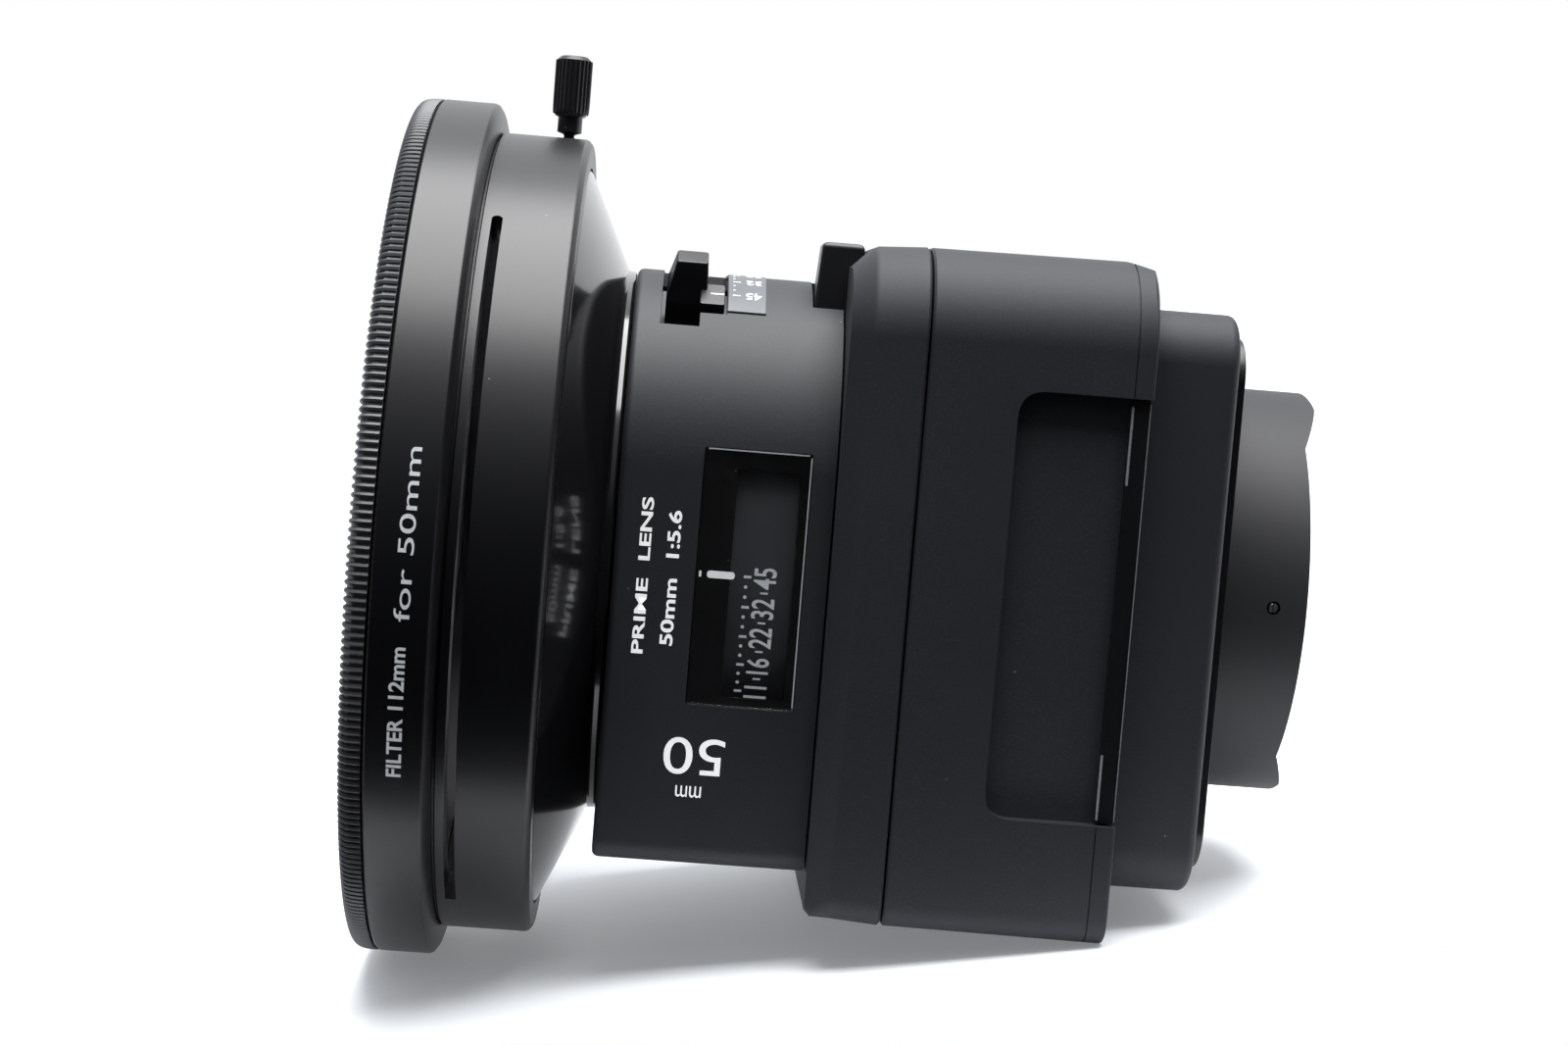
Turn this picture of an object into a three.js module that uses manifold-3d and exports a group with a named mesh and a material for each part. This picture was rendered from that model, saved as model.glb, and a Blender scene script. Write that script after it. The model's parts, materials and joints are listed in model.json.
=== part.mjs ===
// Wide-angle prime lens for a medium-format bellows camera, with a clamp-on filter holder.
// Millimetres. +X runs from the filter end to the camera end, +Z is up, -Y is the side with the dial window.
// The origin is under the middle of the whole lens, at the height of the lowest point of the front rim.

import * as THREE from "three";
import { mergeVertices } from "three/addons/utils/BufferGeometryUtils.js";
import Module from "manifold-3d";

const wasm = await Module();
wasm.setup();

// ---------------------------------------------------------------- driving dimensions

const gap = 0.3; // between pieces that rest on each other
const wall = 2.0; // moulded shells

const rim = { radius: 61.0, length: 2.7, edge: 1.3, lip: 6.8, skirt: 2.5, thread: 1.4 };
const filter = { radius: 56.0, thickness: 2.1 };
const band = { length: 8.3, shoulder: 1.3, ledge: 2.5 };
const clamp = { radius: 57.0, length: 12.6, chamfer: 1.0, spigot: 2.0, wall: 4.0 };
const slit = { width: 1.45, offset: 1.3, above: 50.0, below: 56.4 }; // degrees from -Y
const screw = { offset: 3.7, shank: 0.85, collar: 1.75, collarLength: 2.4, head: 2.65, headLength: 8.5, edge: 0.5 };
const shoe = { size: 6.0, thickness: 1.0, travel: 1.5 };

const cone = { length: 7.6, neckWall: 5.9, shell: 1.6, lip: 0.6, flange: 2.3, sleeve: 9.5 };
const sleeve = { half: 39.2, top: 26.0, bottom: 3.0, length: 28.15, edge: 0.9 };
const windowFrame = { start: 10.8, length: 14.3, low: -17.7, high: 16.4, depth: 1.2 };
const dial = { start: 15.4, length: 8.4, low: -16.5, high: 13.7 };
const drum = { clearance: 0.8, wall: 1.5, start: 3.3, length: 20.7 };
const bearingWall = 3.6;
const notch = { start: 3.6, length: 5.3, angle: 45.5, pointerAngle: 49.1, margin: 3.0 };
const lever = { start: 4.15, length: 5.6, angle: 60.0, height: 3.5, taper: 1.15, rearTaper: 0.25, foot: 3.6, tip: 1.6 };
const pointer = { length: 2.35, angle: 55.2, half: 2.4, proud: 0.2, depth: 3.2 };
const scale = { length: 5.2, from: 50.0, to: 105.0, thickness: 0.5, proud: 0.12 };
const preview = {
  start: 24.1, length: 6.4, angle: 60.0, stem: 2.4, travel: 12.0,
  near: 26.1, far: 18.2, low: 34.6, high: 44.6, draft: 0.6, edge: 0.8,
};

const box = {
  step: 5.1, seamDraft: 0.4, rearDraft: 0.7, top: 12.0, bottom: 3.7,
  bevel: 3.0, bevelBelow: 0.8, edge: 0.5, frontLength: 9.95, rearLength: 29.4,
};
const recess = { start: 11.9, low: -28.9, high: 27.1, depth: 2.5, corner: 3.7, rail: 2.7 };
const board = { half: 39.0, corner: 7.0, length: 11.8, edge: 1.2, opening: 34.0, bore: 26.2 };
const plate = { half: 36.0, corner: 6.0, thickness: 1.1 };
const tube = { radius: 29.1, wall: 1.7, length: 13.85, horn: 2.95, hornFrom: 48.0, hornFull: 69.7, flange: 1.5 };
const plateScrew = { head: 1.6, at: 31.5 };

const stops = 6; // from the smallest aperture to the widest
const degreesPerStop = 6.4;
const irisOpening = 12.0;
const irisClosed = 1.5;
const leaf = { count: 5, from: -6, to: 112, thickness: 0.3, pitch: 0.6, inset: 5.0, ear: 4.5, pin: 0.8, tail: 4.5, drive: 0.6 };
const shutterTurn = 30.0;
const shutterOverlap = 1.0;
const mechanism = { start: 14.8, disc: 1.2, inset: 5.4, housing: 2.0 };

const coarse = 24;
const middle = 32;
const fine = 48;

// ---------------------------------------------------------------- stations along the axis

const at = {};
at.rim = 0;
at.band = at.rim + rim.length + gap;
at.clamp = at.band + band.length + gap;
at.cone = at.clamp + clamp.length;
at.neck = at.cone + cone.length;
at.sleeve = at.neck + gap;
at.box = at.sleeve + sleeve.length + gap;
at.rearShell = at.box + box.frontLength + gap;
at.board = at.rearShell + box.rearLength + gap;
at.plate = at.board + board.length + gap;
at.tubeRim = at.plate + tube.length;
at.end = at.tubeRim + tube.horn;
at.drum = at.sleeve + drum.start;
at.cam = at.sleeve + mechanism.start;

// ---------------------------------------------------------------- radii that follow from the drum and the sleeve

const drumRadius = sleeve.half - wall - drum.clearance;
const drumBore = drumRadius - drum.wall;
const cellTube = drumBore - bearingWall - 2 * gap;
const neckBore = cellTube + cone.flange;
const neckRadius = neckBore + cone.neckWall;
const boxFront = sleeve.half + box.step;
const boxSeam = boxFront + box.seamDraft;
const boxRear = boxFront + box.rearDraft;
const plateBore = tube.radius + gap;
const discRadius = drumRadius - mechanism.inset;
const pivotRadius = discRadius - leaf.inset;
const leafOuter = pivotRadius - leaf.ear;
const cornerSurface = sleeve.top + (sleeve.half - sleeve.top) * Math.SQRT2 - 0.6;

const rad = THREE.MathUtils.degToRad;

// ---------------------------------------------------------------- finishes

const finish = (color, roughness, metalness, extra = {}) =>
  new THREE.MeshStandardMaterial({ color, roughness, metalness, ...extra });

const satinMetal = finish(0x16181b, 0.42, 0.6);
const glossBlack = finish(0x08090a, 0.15, 0.2);
const speckledPlastic = finish(0x1b1d21, 0.75, 0.0);
const boxPlastic = finish(0x20242a, 0.6, 0.0);
const dialGrey = finish(0x34363a, 0.6, 0.1);
const bladeSteel = finish(0x2c2e31, 0.45, 0.7);
const innerMetal = finish(0x3a3c3f, 0.5, 0.6);
const brass = finish(0xb08d4a, 0.35, 0.9);
const opticalGlass = finish(0x9fb4a8, 0.05, 0.0, { transparent: true, opacity: 0.35 });
const paneGlass = finish(0x707478, 0.05, 0.0, { transparent: true, opacity: 0.35 });
const boardGreen = finish(0x1d4a30, 0.6, 0.0);
const plainSteel = finish(0x8a8c8f, 0.35, 0.9);

// ---------------------------------------------------------------- solids

/** A solid from a closed geometry: shared corners merged, empty faces dropped, right side out. */
function solid(geometry) {
  const bare = new THREE.BufferGeometry();
  bare.setAttribute("position", geometry.getAttribute("position"));
  if (geometry.index) bare.setIndex(geometry.index);
  const merged = mergeVertices(bare, 1e-4);
  const position = merged.getAttribute("position").array;
  const corners = merged.index.array;
  const faces = [];
  let volume = 0;
  for (let i = 0; i < corners.length; i += 3) {
    const [a, b, c] = [corners[i], corners[i + 1], corners[i + 2]];
    if (a === b || b === c || c === a) continue;
    faces.push([a, b, c]);
    const [p, q, r] = [a, b, c].map((n) => new THREE.Vector3().fromArray(position, 3 * n));
    volume += p.dot(q.cross(r));
  }
  const triVerts = new Uint32Array(faces.flatMap(([a, b, c]) => (volume < 0 ? [a, c, b] : [a, b, c])));
  return new wasm.Manifold(new wasm.Mesh({ numProp: 3, vertProperties: new Float32Array(position), triVerts }));
}

/** All the given solids joined. */
const joined = (...solids) => solids.reduce((sum, next) => sum.add(next));

/** The first solid with the others cut away. */
const cut = (first, ...others) => others.reduce((rest, next) => rest.subtract(next), first);

/** A body of revolution from [distance along axis, radius] points; an outline off the axis closes on itself. */
function revolved(outline, segments) {
  const points = outline.map(([along, radius]) => new THREE.Vector2(radius, along));
  const onAxis = outline[0][1] === 0 && outline.at(-1)[1] === 0;
  if (!onAxis) points.push(points[0].clone());
  return new THREE.LatheGeometry(points, segments);
}

/** Turned about the optical axis. */
const turned = (outline, segments = middle) => solid(revolved(outline, segments).rotateZ(-Math.PI / 2));

/** A plain tube or disc about the optical axis. */
const washer = (start, end, inner, outer, segments = middle) =>
  inner > 0
    ? turned([[start, inner], [start, outer], [end, outer], [end, inner]], segments)
    : turned([[start, 0], [start, outer], [end, outer], [end, 0]], segments);

/** Turned about a line parallel to X through (y, z). */
const pinAt = (start, end, radius, y, z, segments = 8) =>
  washer(start, end, 0, radius, segments).translate([0, y, z]);

const acrossAxis = new THREE.Matrix4().makeBasis(
  new THREE.Vector3(0, 1, 0), new THREE.Vector3(0, 0, 1), new THREE.Vector3(1, 0, 0));
const acrossWidth = new THREE.Matrix4().makeBasis(
  new THREE.Vector3(1, 0, 0), new THREE.Vector3(0, 0, 1), new THREE.Vector3(0, -1, 0));

/** A (y, z) shape carried along X from start to end. */
function prismX(shape, start, end, curveSegments = 8) {
  const geometry = new THREE.ExtrudeGeometry(shape, { depth: end - start, bevelEnabled: false, curveSegments });
  return solid(geometry.applyMatrix4(acrossAxis).translate(start, 0, 0));
}

/** An (x, z) shape carried along Y from low to high. */
function prismY(shape, low, high, curveSegments = 8) {
  const geometry = new THREE.ExtrudeGeometry(shape, { depth: high - low, bevelEnabled: false, curveSegments });
  return solid(geometry.applyMatrix4(acrossWidth).translate(0, high, 0));
}

const polygon = (points) => new THREE.Shape(points.map(([u, v]) => new THREE.Vector2(u, v)));

/** A block between two opposite corners. */
function block([x0, y0, z0], [x1, y1, z1]) {
  const geometry = new THREE.BoxGeometry(x1 - x0, y1 - y0, z1 - z0);
  return solid(geometry.translate((x0 + x1) / 2, (y0 + y1) / 2, (z0 + z1) / 2));
}

/** Corner points, anticlockwise in (y, z), of a square with its own top and bottom corner radii. */
function roundedSquare(half, top, bottom, steps = 6) {
  const corners = [[1, 1, top, 0], [-1, 1, top, 90], [-1, -1, bottom, 180], [1, -1, bottom, 270]];
  return corners.flatMap(([y, z, radius, start]) =>
    Array.from({ length: steps + 1 }, (_, i) => {
      const angle = rad(start + (90 * i) / steps);
      return [y * (half - radius) + radius * Math.cos(angle), z * (half - radius) + radius * Math.sin(angle)];
    }));
}

/** A skin through equal outlines at given places along X, closed by flat ends. */
function lofted(sections) {
  const count = sections[0].outline.length;
  const vertices = sections.flatMap(({ x, outline }) => outline.flatMap(([y, z]) => [x, y, z]));
  const index = [];
  for (let s = 0; s + 1 < sections.length; s += 1) {
    for (let i = 0; i < count; i += 1) {
      const [a, b] = [s * count + i, s * count + ((i + 1) % count)];
      index.push(a, b, b + count, a, b + count, a + count);
    }
  }
  const last = (sections.length - 1) * count;
  for (let i = 1; i + 1 < count; i += 1) {
    index.push(0, i + 1, i, last, last + i, last + i + 1);
  }
  const geometry = new THREE.BufferGeometry();
  geometry.setAttribute("position", new THREE.Float32BufferAttribute(vertices, 3));
  geometry.setIndex(index);
  return solid(geometry);
}

/** The direction that lies the given degrees above -Y, seen along the axis. */
const nearAngle = (degrees) => rad(180 - degrees);

/** Part of a ring between two angles above -Y. */
function ringSector(inner, outer, from, to, start, end, steps = 8) {
  const shape = new THREE.Shape();
  shape.absarc(0, 0, outer, nearAngle(from), nearAngle(to), true);
  shape.absarc(0, 0, inner, nearAngle(to), nearAngle(from), false);
  return prismX(shape, start, end, steps);
}

/** A lens from its edge outline and the bulge of each face: positive bulges point to the front. */
function opticalElement(radius, frontEdge, rearEdge, frontBulge, rearBulge, rearRadius = radius) {
  const face = (edge, bulge, reach) => {
    const curve = (reach * reach + bulge * bulge) / (2 * Math.abs(bulge));
    return [0, 0.6, 1].map((share) => {
      const height = share * reach;
      const sag = curve - Math.sqrt(curve * curve - height * height);
      return [edge - Math.sign(bulge) * (Math.abs(bulge) - sag), height];
    });
  };
  const rear = face(rearEdge, rearBulge, rearRadius).reverse();
  const step = rearRadius < radius ? [[rearEdge, radius]] : [];
  return turned([...face(frontEdge, frontBulge, radius), ...step, ...rear], coarse);
}

const root = new THREE.Group();
const lens = new THREE.Group();
lens.position.set(-(at.rim + at.end) / 2, 0, rim.radius);
root.add(lens);

/** Adds a finished solid to the lens as a named mesh. */
function piece(name, shape, material) {
  const { vertProperties, triVerts } = shape.getMesh();
  const geometry = new THREE.BufferGeometry();
  geometry.setAttribute("position", new THREE.BufferAttribute(vertProperties, 3));
  geometry.setIndex(new THREE.BufferAttribute(triVerts, 1));
  geometry.computeVertexNormals();
  const mesh = new THREE.Mesh(geometry, material);
  mesh.name = name;
  lens.add(mesh);
}

// ---------------------------------------------------------------- filter holder

const lipInner = rim.radius - rim.lip;
const glassFront = at.band - gap;
const skirtOuter = filter.radius + gap + rim.thread;
const skirtEnd = at.rim + rim.length + rim.skirt;
const ledgeFront = Math.max(skirtEnd, glassFront + filter.thickness) + gap;
const clampInner = clamp.radius - clamp.wall;
const coneRim = clampInner - 0.4;

function makeFilterHolder() {
  piece("filter_rim", turned([
    [at.rim, lipInner + 0.8], [at.rim, rim.radius - rim.edge], [at.rim + 0.35 * rim.edge, rim.radius - 0.35 * rim.edge],
    [at.rim + rim.edge, rim.radius], [at.rim + rim.length, rim.radius], [at.rim + rim.length, skirtOuter],
    [skirtEnd, skirtOuter], [skirtEnd, filter.radius + gap], [glassFront - gap, filter.radius + gap],
    [glassFront - gap, lipInner], [at.rim + 0.8, lipInner],
  ], fine), satinMetal);

  piece("filter_glass", washer(glassFront, glassFront + filter.thickness, 0, filter.radius, fine), paneGlass);

  const bandRear = at.band + band.length;
  const spigotOuter = clamp.radius - 0.6;
  const spigotFront = at.clamp - clamp.spigot;
  piece("holder_front_ring", turned([
    [at.band, skirtOuter + gap], [at.band, rim.radius], [bandRear - band.shoulder, rim.radius],
    [bandRear - 0.4 * band.shoulder, rim.radius - 0.6 * band.shoulder], [bandRear, rim.radius - 2 * band.shoulder],
    [bandRear, spigotOuter + gap], [spigotFront - gap, spigotOuter + gap],
    [spigotFront - gap, filter.radius - band.ledge], [ledgeFront, filter.radius - band.ledge],
    [ledgeFront, skirtOuter + gap],
  ], fine), satinMetal);

  const ring = turned([
    [spigotFront, clampInner], [spigotFront, spigotOuter], [at.clamp, spigotOuter], [at.clamp, clamp.radius],
    [at.cone - clamp.chamfer, clamp.radius], [at.cone, clamp.radius - clamp.chamfer], [at.cone, clampInner],
  ], fine);
  const slitFront = at.clamp + slit.offset;
  const slot = ringSector(clampInner - 1, clamp.radius + 1, -slit.below, slit.above, slitFront, slitFront + slit.width, 12);
  const screwX = at.cone - screw.offset;
  const shoeTop = coneRim + gap + shoe.thickness;
  const half = shoe.size / 2;
  const pocket = block(
    [screwX - half - gap, -half - gap, clampInner - 3], [screwX + half + gap, half + gap, shoeTop + shoe.travel + gap]);
  const bore = solid(revolved(
    [[0, 0], [0, screw.shank + gap], [2 * clamp.wall, screw.shank + gap], [2 * clamp.wall, 0]], 16)
    .rotateX(Math.PI / 2).translate(screwX, 0, clampInner));
  piece("holder_clamp_ring", cut(ring, slot, pocket, bore), satinMetal);

  piece("clamp_shoe", block([screwX - half, -half, coneRim + gap], [screwX + half, half, shoeTop]), brass);

  const collarLow = clamp.radius + 0.6;
  const headLow = collarLow + screw.collarLength;
  const headHigh = headLow + 0.2 + screw.headLength;
  piece("thumbscrew", solid(revolved([
    [shoeTop + gap, 0], [shoeTop + gap, screw.shank], [collarLow, screw.shank], [collarLow + 0.3, screw.collar],
    [headLow, screw.collar], [headLow + 0.2, screw.head - screw.edge], [headLow + 0.2 + screw.edge, screw.head],
    [headHigh - screw.edge, screw.head], [headHigh, screw.head - screw.edge], [headHigh, 0],
  ], 20).rotateX(Math.PI / 2).translate(screwX, 0, 0)), satinMetal);
}

// ---------------------------------------------------------------- front optics

const front = { glass: 37.5, edge: 5.3, bulge: 9.0, hollow: 9.8, hollowRadius: 28.0 };
const cell = { wall: 2.0, tube: cellTube, second: cellTube - 4.2, third: cellTube - 8.2 };

function makeFrontOptics() {
  const run = cone.length - cone.lip - 0.4;
  const rise = coneRim - neckRadius;
  const slant = Math.hypot(run, rise);
  const inward = [(-cone.shell * rise) / slant, (-cone.shell * run) / slant];
  const boreRadius = coneRim - 2;
  const innerStart = [at.cone + inward[0] + (run * (coneRim + inward[1] - boreRadius)) / rise, boreRadius];
  const innerEnd = [at.cone + run + inward[0], neckRadius + inward[1]];
  piece("front_cone", turned([
    [at.cone - cone.sleeve, boreRadius], [at.cone - cone.sleeve, coneRim], [at.cone, coneRim],
    [at.cone + run, neckRadius], [at.neck - 0.4, neckRadius], [at.neck, neckRadius - 0.5],
    [at.neck, neckBore], [at.neck - 1.2, neckBore], [at.neck - 1.2, innerEnd[1] - 1.4], innerEnd, innerStart,
  ], fine), glossBlack);

  const cellFront = at.neck - 11.9;
  const seat = cellFront + 1.1 + front.edge + gap;
  const cellBore = front.glass + gap;
  const cellRear = at.neck + 12.9;
  const thirdFront = cellRear - 7.5;
  piece("front_cell", turned([
    [cellFront, cellBore], [cellFront, cellBore + cell.wall], [seat + 1.2, cellBore + cell.wall],
    [seat + 1.6, cellBore + 1], [seat + 1.6, cell.tube], [cellRear, cell.tube], [cellRear, cell.third - 2],
    [cellRear - 1.4, cell.third - 2], [cellRear - 1.4, cell.third + gap], [thirdFront - gap, cell.third + gap],
    [thirdFront - gap, cell.second + gap], [seat + 2.4, cell.second + gap], [seat + 2.4, front.hollowRadius + 0.8],
    [seat, front.hollowRadius + 0.8], [seat, cellBore],
  ], coarse), innerMetal);

  const glassEdge = cellFront + 1.1;
  piece("front_element", opticalElement(
    front.glass, glassEdge, glassEdge + front.edge, front.bulge, front.hollow, front.hollowRadius), opticalGlass);
  piece("front_retaining_ring", turned([
    [cellFront - 1.6, front.glass - 1.5], [cellFront - 1.6, front.glass], [glassEdge - 0.4, front.glass],
    [glassEdge - 1.2, front.glass - 1.5],
  ], coarse), satinMetal);
  piece("name_ring", turned([
    [cellFront - 4.6, boreRadius - 1.0], [cellFront - 4.6, boreRadius - gap], [cellFront - 3.4, boreRadius - gap],
    [cellFront - gap, cellBore + cell.wall + 0.8], [cellFront - gap, cellBore + 0.2],
    [cellFront - 1.8, cellBore + 0.2],
  ], coarse), glossBlack);
  piece("second_element", opticalElement(
    cell.second, thirdFront - 5.3, thirdFront - 2 * gap, 3.0, 2.2, cell.second - 4), opticalGlass);
  piece("third_element", opticalElement(cell.third, thirdFront + 1.6, cellRear - 1.7, 1.6, -1.2), opticalGlass);

  piece("inner_barrel", turned([
    [at.sleeve + 1.8, cell.tube + gap], [at.sleeve + 1.8, drumRadius + 0.2], [at.drum - gap, drumRadius + 0.2],
    [at.drum - gap, drumBore - gap], [at.cam - 1.2, drumBore - gap],
    [at.cam - 1.2, cell.tube + gap],
  ], coarse), innerMetal);
}

// ---------------------------------------------------------------- barrel sleeve, window and scale

const previewX = at.sleeve + preview.start;

/** The room in which the preview lever swings, between two stations. */
function previewRoom(inner, start, end) {
  const sweep = ringSector(inner, 70, preview.angle - 10, preview.angle + 12 + preview.travel, start, end);
  return sweep.intersect(block([start - 1, -preview.near - gap, 0], [end + 1, preview.near, 70]));
}

const outline = (inset) => roundedSquare(sleeve.half - inset, sleeve.top - inset, Math.max(sleeve.bottom - inset, 0.5), 10);
const leverStart = at.sleeve + lever.start;
const notchStart = at.sleeve + notch.start;
const notchEnd = notchStart + notch.length;
const travel = stops * degreesPerStop;
const leverReach = (Math.atan2(lever.foot, drumRadius) * 180) / Math.PI;
const notchFar = lever.angle + leverReach + travel + notch.margin;
const pointerEnd = leverStart + lever.length + pointer.length;
const scaleStart = pointerEnd + gap + 0.1;
const pane = {
  start: at.sleeve + windowFrame.start + 0.15,
  end: at.sleeve + windowFrame.start + windowFrame.length - 0.15,
};

function makeBarrel() {
  const skin = lofted([
    { x: at.sleeve, outline: outline(sleeve.edge) },
    { x: at.sleeve + 0.3 * sleeve.edge, outline: outline(0.3 * sleeve.edge) },
    { x: at.sleeve + sleeve.edge, outline: outline(0) },
    { x: at.sleeve + sleeve.length, outline: outline(0) },
  ]);
  const inside = prismX(polygon(outline(wall)), at.sleeve + 1.5, at.sleeve + sleeve.length + 1);
  const bore = washer(at.sleeve - 1, at.sleeve + 2, 0, neckBore, coarse);
  const leverNotch = ringSector(drumRadius - 1, 70, notch.angle, notchFar, notchStart, notchEnd);
  const pointerNotch = ringSector(drumRadius - 1, 70, notch.pointerAngle, notchFar, notchEnd - 0.1, scaleStart);
  const windowCut = block(
    [at.sleeve + windowFrame.start, -sleeve.half - 1, windowFrame.low],
    [at.sleeve + windowFrame.start + windowFrame.length, -sleeve.half + wall + 0.5, windowFrame.high]);
  const band = (inset, outset) => cut(
    prismX(polygon(outline(-outset)), scaleStart, scaleStart + scale.length),
    prismX(polygon(outline(inset)), scaleStart - 1, scaleStart + scale.length + 1));
  const arc = (from, to) => ringSector(drumRadius, 70, from, to, scaleStart - 1, scaleStart + scale.length + 1);
  const pocket = band(scale.thickness - scale.proud + gap, 1).intersect(arc(scale.from - 0.4, scale.to + 0.4));
  const previewSlot = previewRoom(drumRadius - 1, previewX - gap, at.box);
  piece("barrel_sleeve", cut(skin, inside, bore, leverNotch, pointerNotch, windowCut, pocket, previewSlot), speckledPlastic);

  piece("scale_plate", band(scale.thickness - scale.proud, scale.proud).intersect(arc(scale.from, scale.to)), dialGrey);

  const low = windowFrame.low + 0.15;
  const high = windowFrame.high - 0.15;
  const paneBack = -sleeve.half + windowFrame.depth;
  piece("window_pane", block([pane.start, -sleeve.half, low], [pane.end, paneBack, high]), paneGlass);
  const mask = block([pane.start, paneBack + 0.2, low], [pane.end, paneBack + 0.8, high]);
  const opening = block(
    [at.sleeve + dial.start, -sleeve.half, dial.low], [at.sleeve + dial.start + dial.length, 0, dial.high]);
  piece("window_mask", cut(mask, opening), glossBlack);
}

// ---------------------------------------------------------------- aperture and preview levers

/** A finger block standing along the radius at an angle above -Y, narrower at its tip. */
function fingerBlock(angle, start, length, foot, tip, low, high, taper = 0, rearTaper = 0) {
  const section = (height, half, inset, rearInset) => ({
    x: height,
    outline: [
      [-half, start + inset], [half, start + inset], [half, start + length - rearInset], [-half, start + length - rearInset]],
  });
  const shoulder = Math.min(high - 1, cornerSurface - 1.6);
  const standing = new THREE.Matrix4().makeBasis(
    new THREE.Vector3(0, -Math.cos(rad(angle)), Math.sin(rad(angle))),
    new THREE.Vector3(0, -Math.sin(rad(angle)), -Math.cos(rad(angle))),
    new THREE.Vector3(1, 0, 0));
  return lofted([section(low, foot, 0, 0), section(shoulder, foot, 0, 0), section(high, tip, taper, rearTaper)])
    .transform(standing.elements);
}

/** The preview lever's finger block, standing straight up and narrower at its top. */
function previewBlock() {
  const section = (height, nearInset, farInset, frontInset, rearInset) => ({
    x: height,
    outline: [
      [preview.far + farInset, previewX + frontInset], [preview.near - nearInset, previewX + frontInset],
      [preview.near - nearInset, previewX + preview.length - rearInset],
      [preview.far + farInset, previewX + preview.length - rearInset]],
  });
  const upright = new THREE.Matrix4().makeBasis(
    new THREE.Vector3(0, 0, 1), new THREE.Vector3(0, -1, 0), new THREE.Vector3(1, 0, 0));
  const { draft, edge } = preview;
  return lofted([
    section(preview.low, 0, 0, 0, 0), section(preview.high - edge, draft, draft, draft, 0),
    section(preview.high - 0.3 * edge, draft + 0.3 * edge, draft + 0.3 * edge, draft + 0.3 * edge, 0.3 * edge),
    section(preview.high, draft + edge, draft + edge, draft + edge, edge),
  ]).transform(upright.elements);
}

function makeLevers() {
  piece("aperture_drum", washer(at.drum, at.drum + drum.length, drumBore, drumRadius, middle), dialGrey);

  const finger = fingerBlock(
    lever.angle, leverStart, lever.length, lever.foot, lever.tip, drumRadius + gap, cornerSurface + lever.height,
    lever.taper, lever.rearTaper);
  const arrow = fingerBlock(
    pointer.angle, leverStart + 1, lever.length - 1 + pointer.length, pointer.half, pointer.half,
    cornerSurface - pointer.depth, cornerSurface + pointer.proud);
  piece("aperture_lever", joined(finger, arrow), satinMetal);

  const sector = ringSector(
    drumBore, drumRadius + 0.2, preview.angle - 9, preview.angle + 9, previewX + 0.2, previewX + 2.6, 4);
  const stem = fingerBlock(
    preview.angle, previewX + 0.2, 2.4, preview.stem, preview.stem, drumRadius - 0.5, cornerSurface - 1);
  piece("preview_lever", joined(sector, stem, previewBlock()), satinMetal);
}

// ---------------------------------------------------------------- iris and shutter

const discRear = at.cam + mechanism.disc;
const stack = leaf.count * leaf.pitch;
const base = { front: discRear + gap + stack + 0.1, rear: 0 };
base.rear = base.front + mechanism.disc;
const shutterRing = base.rear + gap + stack + 0.1;

/** How far a leaf turns about its pivot to move its edge inwards by the given distance, in radians. */
const leafTurn = (inwards) => 2 * Math.asin(inwards / (2 * pivotRadius));
const irisTurn = leafTurn(irisOpening - irisClosed);
const shutterLeafTurn = leafTurn(irisOpening + shutterOverlap);

/** Where a leaf's drive pin is, in (y, z), when the leaf is turned inwards by an angle. */
function drivePin(turn) {
  return [pivotRadius + leaf.tail * Math.sin(turn), -leaf.tail * Math.cos(turn)];
}

/** One iris or shutter leaf lying open, with its drive pin reaching to a cam ring on the given side. */
function leafBlade(index, turn, side, plane, pinEnd) {
  const start = side < 0 ? plane - gap - index * leaf.pitch - leaf.thickness : plane + gap + index * leaf.pitch;
  const end = start + leaf.thickness;
  const arc = new THREE.Shape();
  const [inner, outer] = [irisOpening + 0.2, leafOuter];
  arc.absarc(0, 0, outer, rad(leaf.from), rad(leaf.to), false);
  arc.absarc(0, 0, inner, rad(leaf.to), rad(leaf.from), true);
  const ear = new THREE.Shape().absarc(pivotRadius, 0, leaf.pin + 1.4, 0, 2 * Math.PI, false);
  const [pinY, pinZ] = drivePin(0);
  const arm = polygon([[outer - 2, -1.8], [pivotRadius + 1.5, -1.8], [pivotRadius + 1.5, 1.8], [outer - 2, 1.8]]);
  const tail = polygon([[pinY - 1.1, pinZ - 1.1], [pinY + 1.1, pinZ - 1.1], [pinY + 1.1, -1], [pinY - 1.1, -1]]);
  const flat = joined(...[arc, ear, arm, tail].map((shape) => prismX(shape, start, end, 10)));
  const bore = pinAt(start - 1, end + 1, leaf.pin + 0.25, pivotRadius, 0);
  const pin = side < 0 ? pinAt(pinEnd, end, leaf.drive, pinY, pinZ, 8) : pinAt(start, pinEnd, leaf.drive, pinY, pinZ, 8);
  const blade = joined(cut(flat, bore), pin);
  return blade.translate([0, -pivotRadius, 0]).rotate([THREE.MathUtils.radToDeg(turn), 0, 0])
    .translate([0, pivotRadius, 0]).rotate([(360 * index) / leaf.count, 0, 0]);
}

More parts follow.
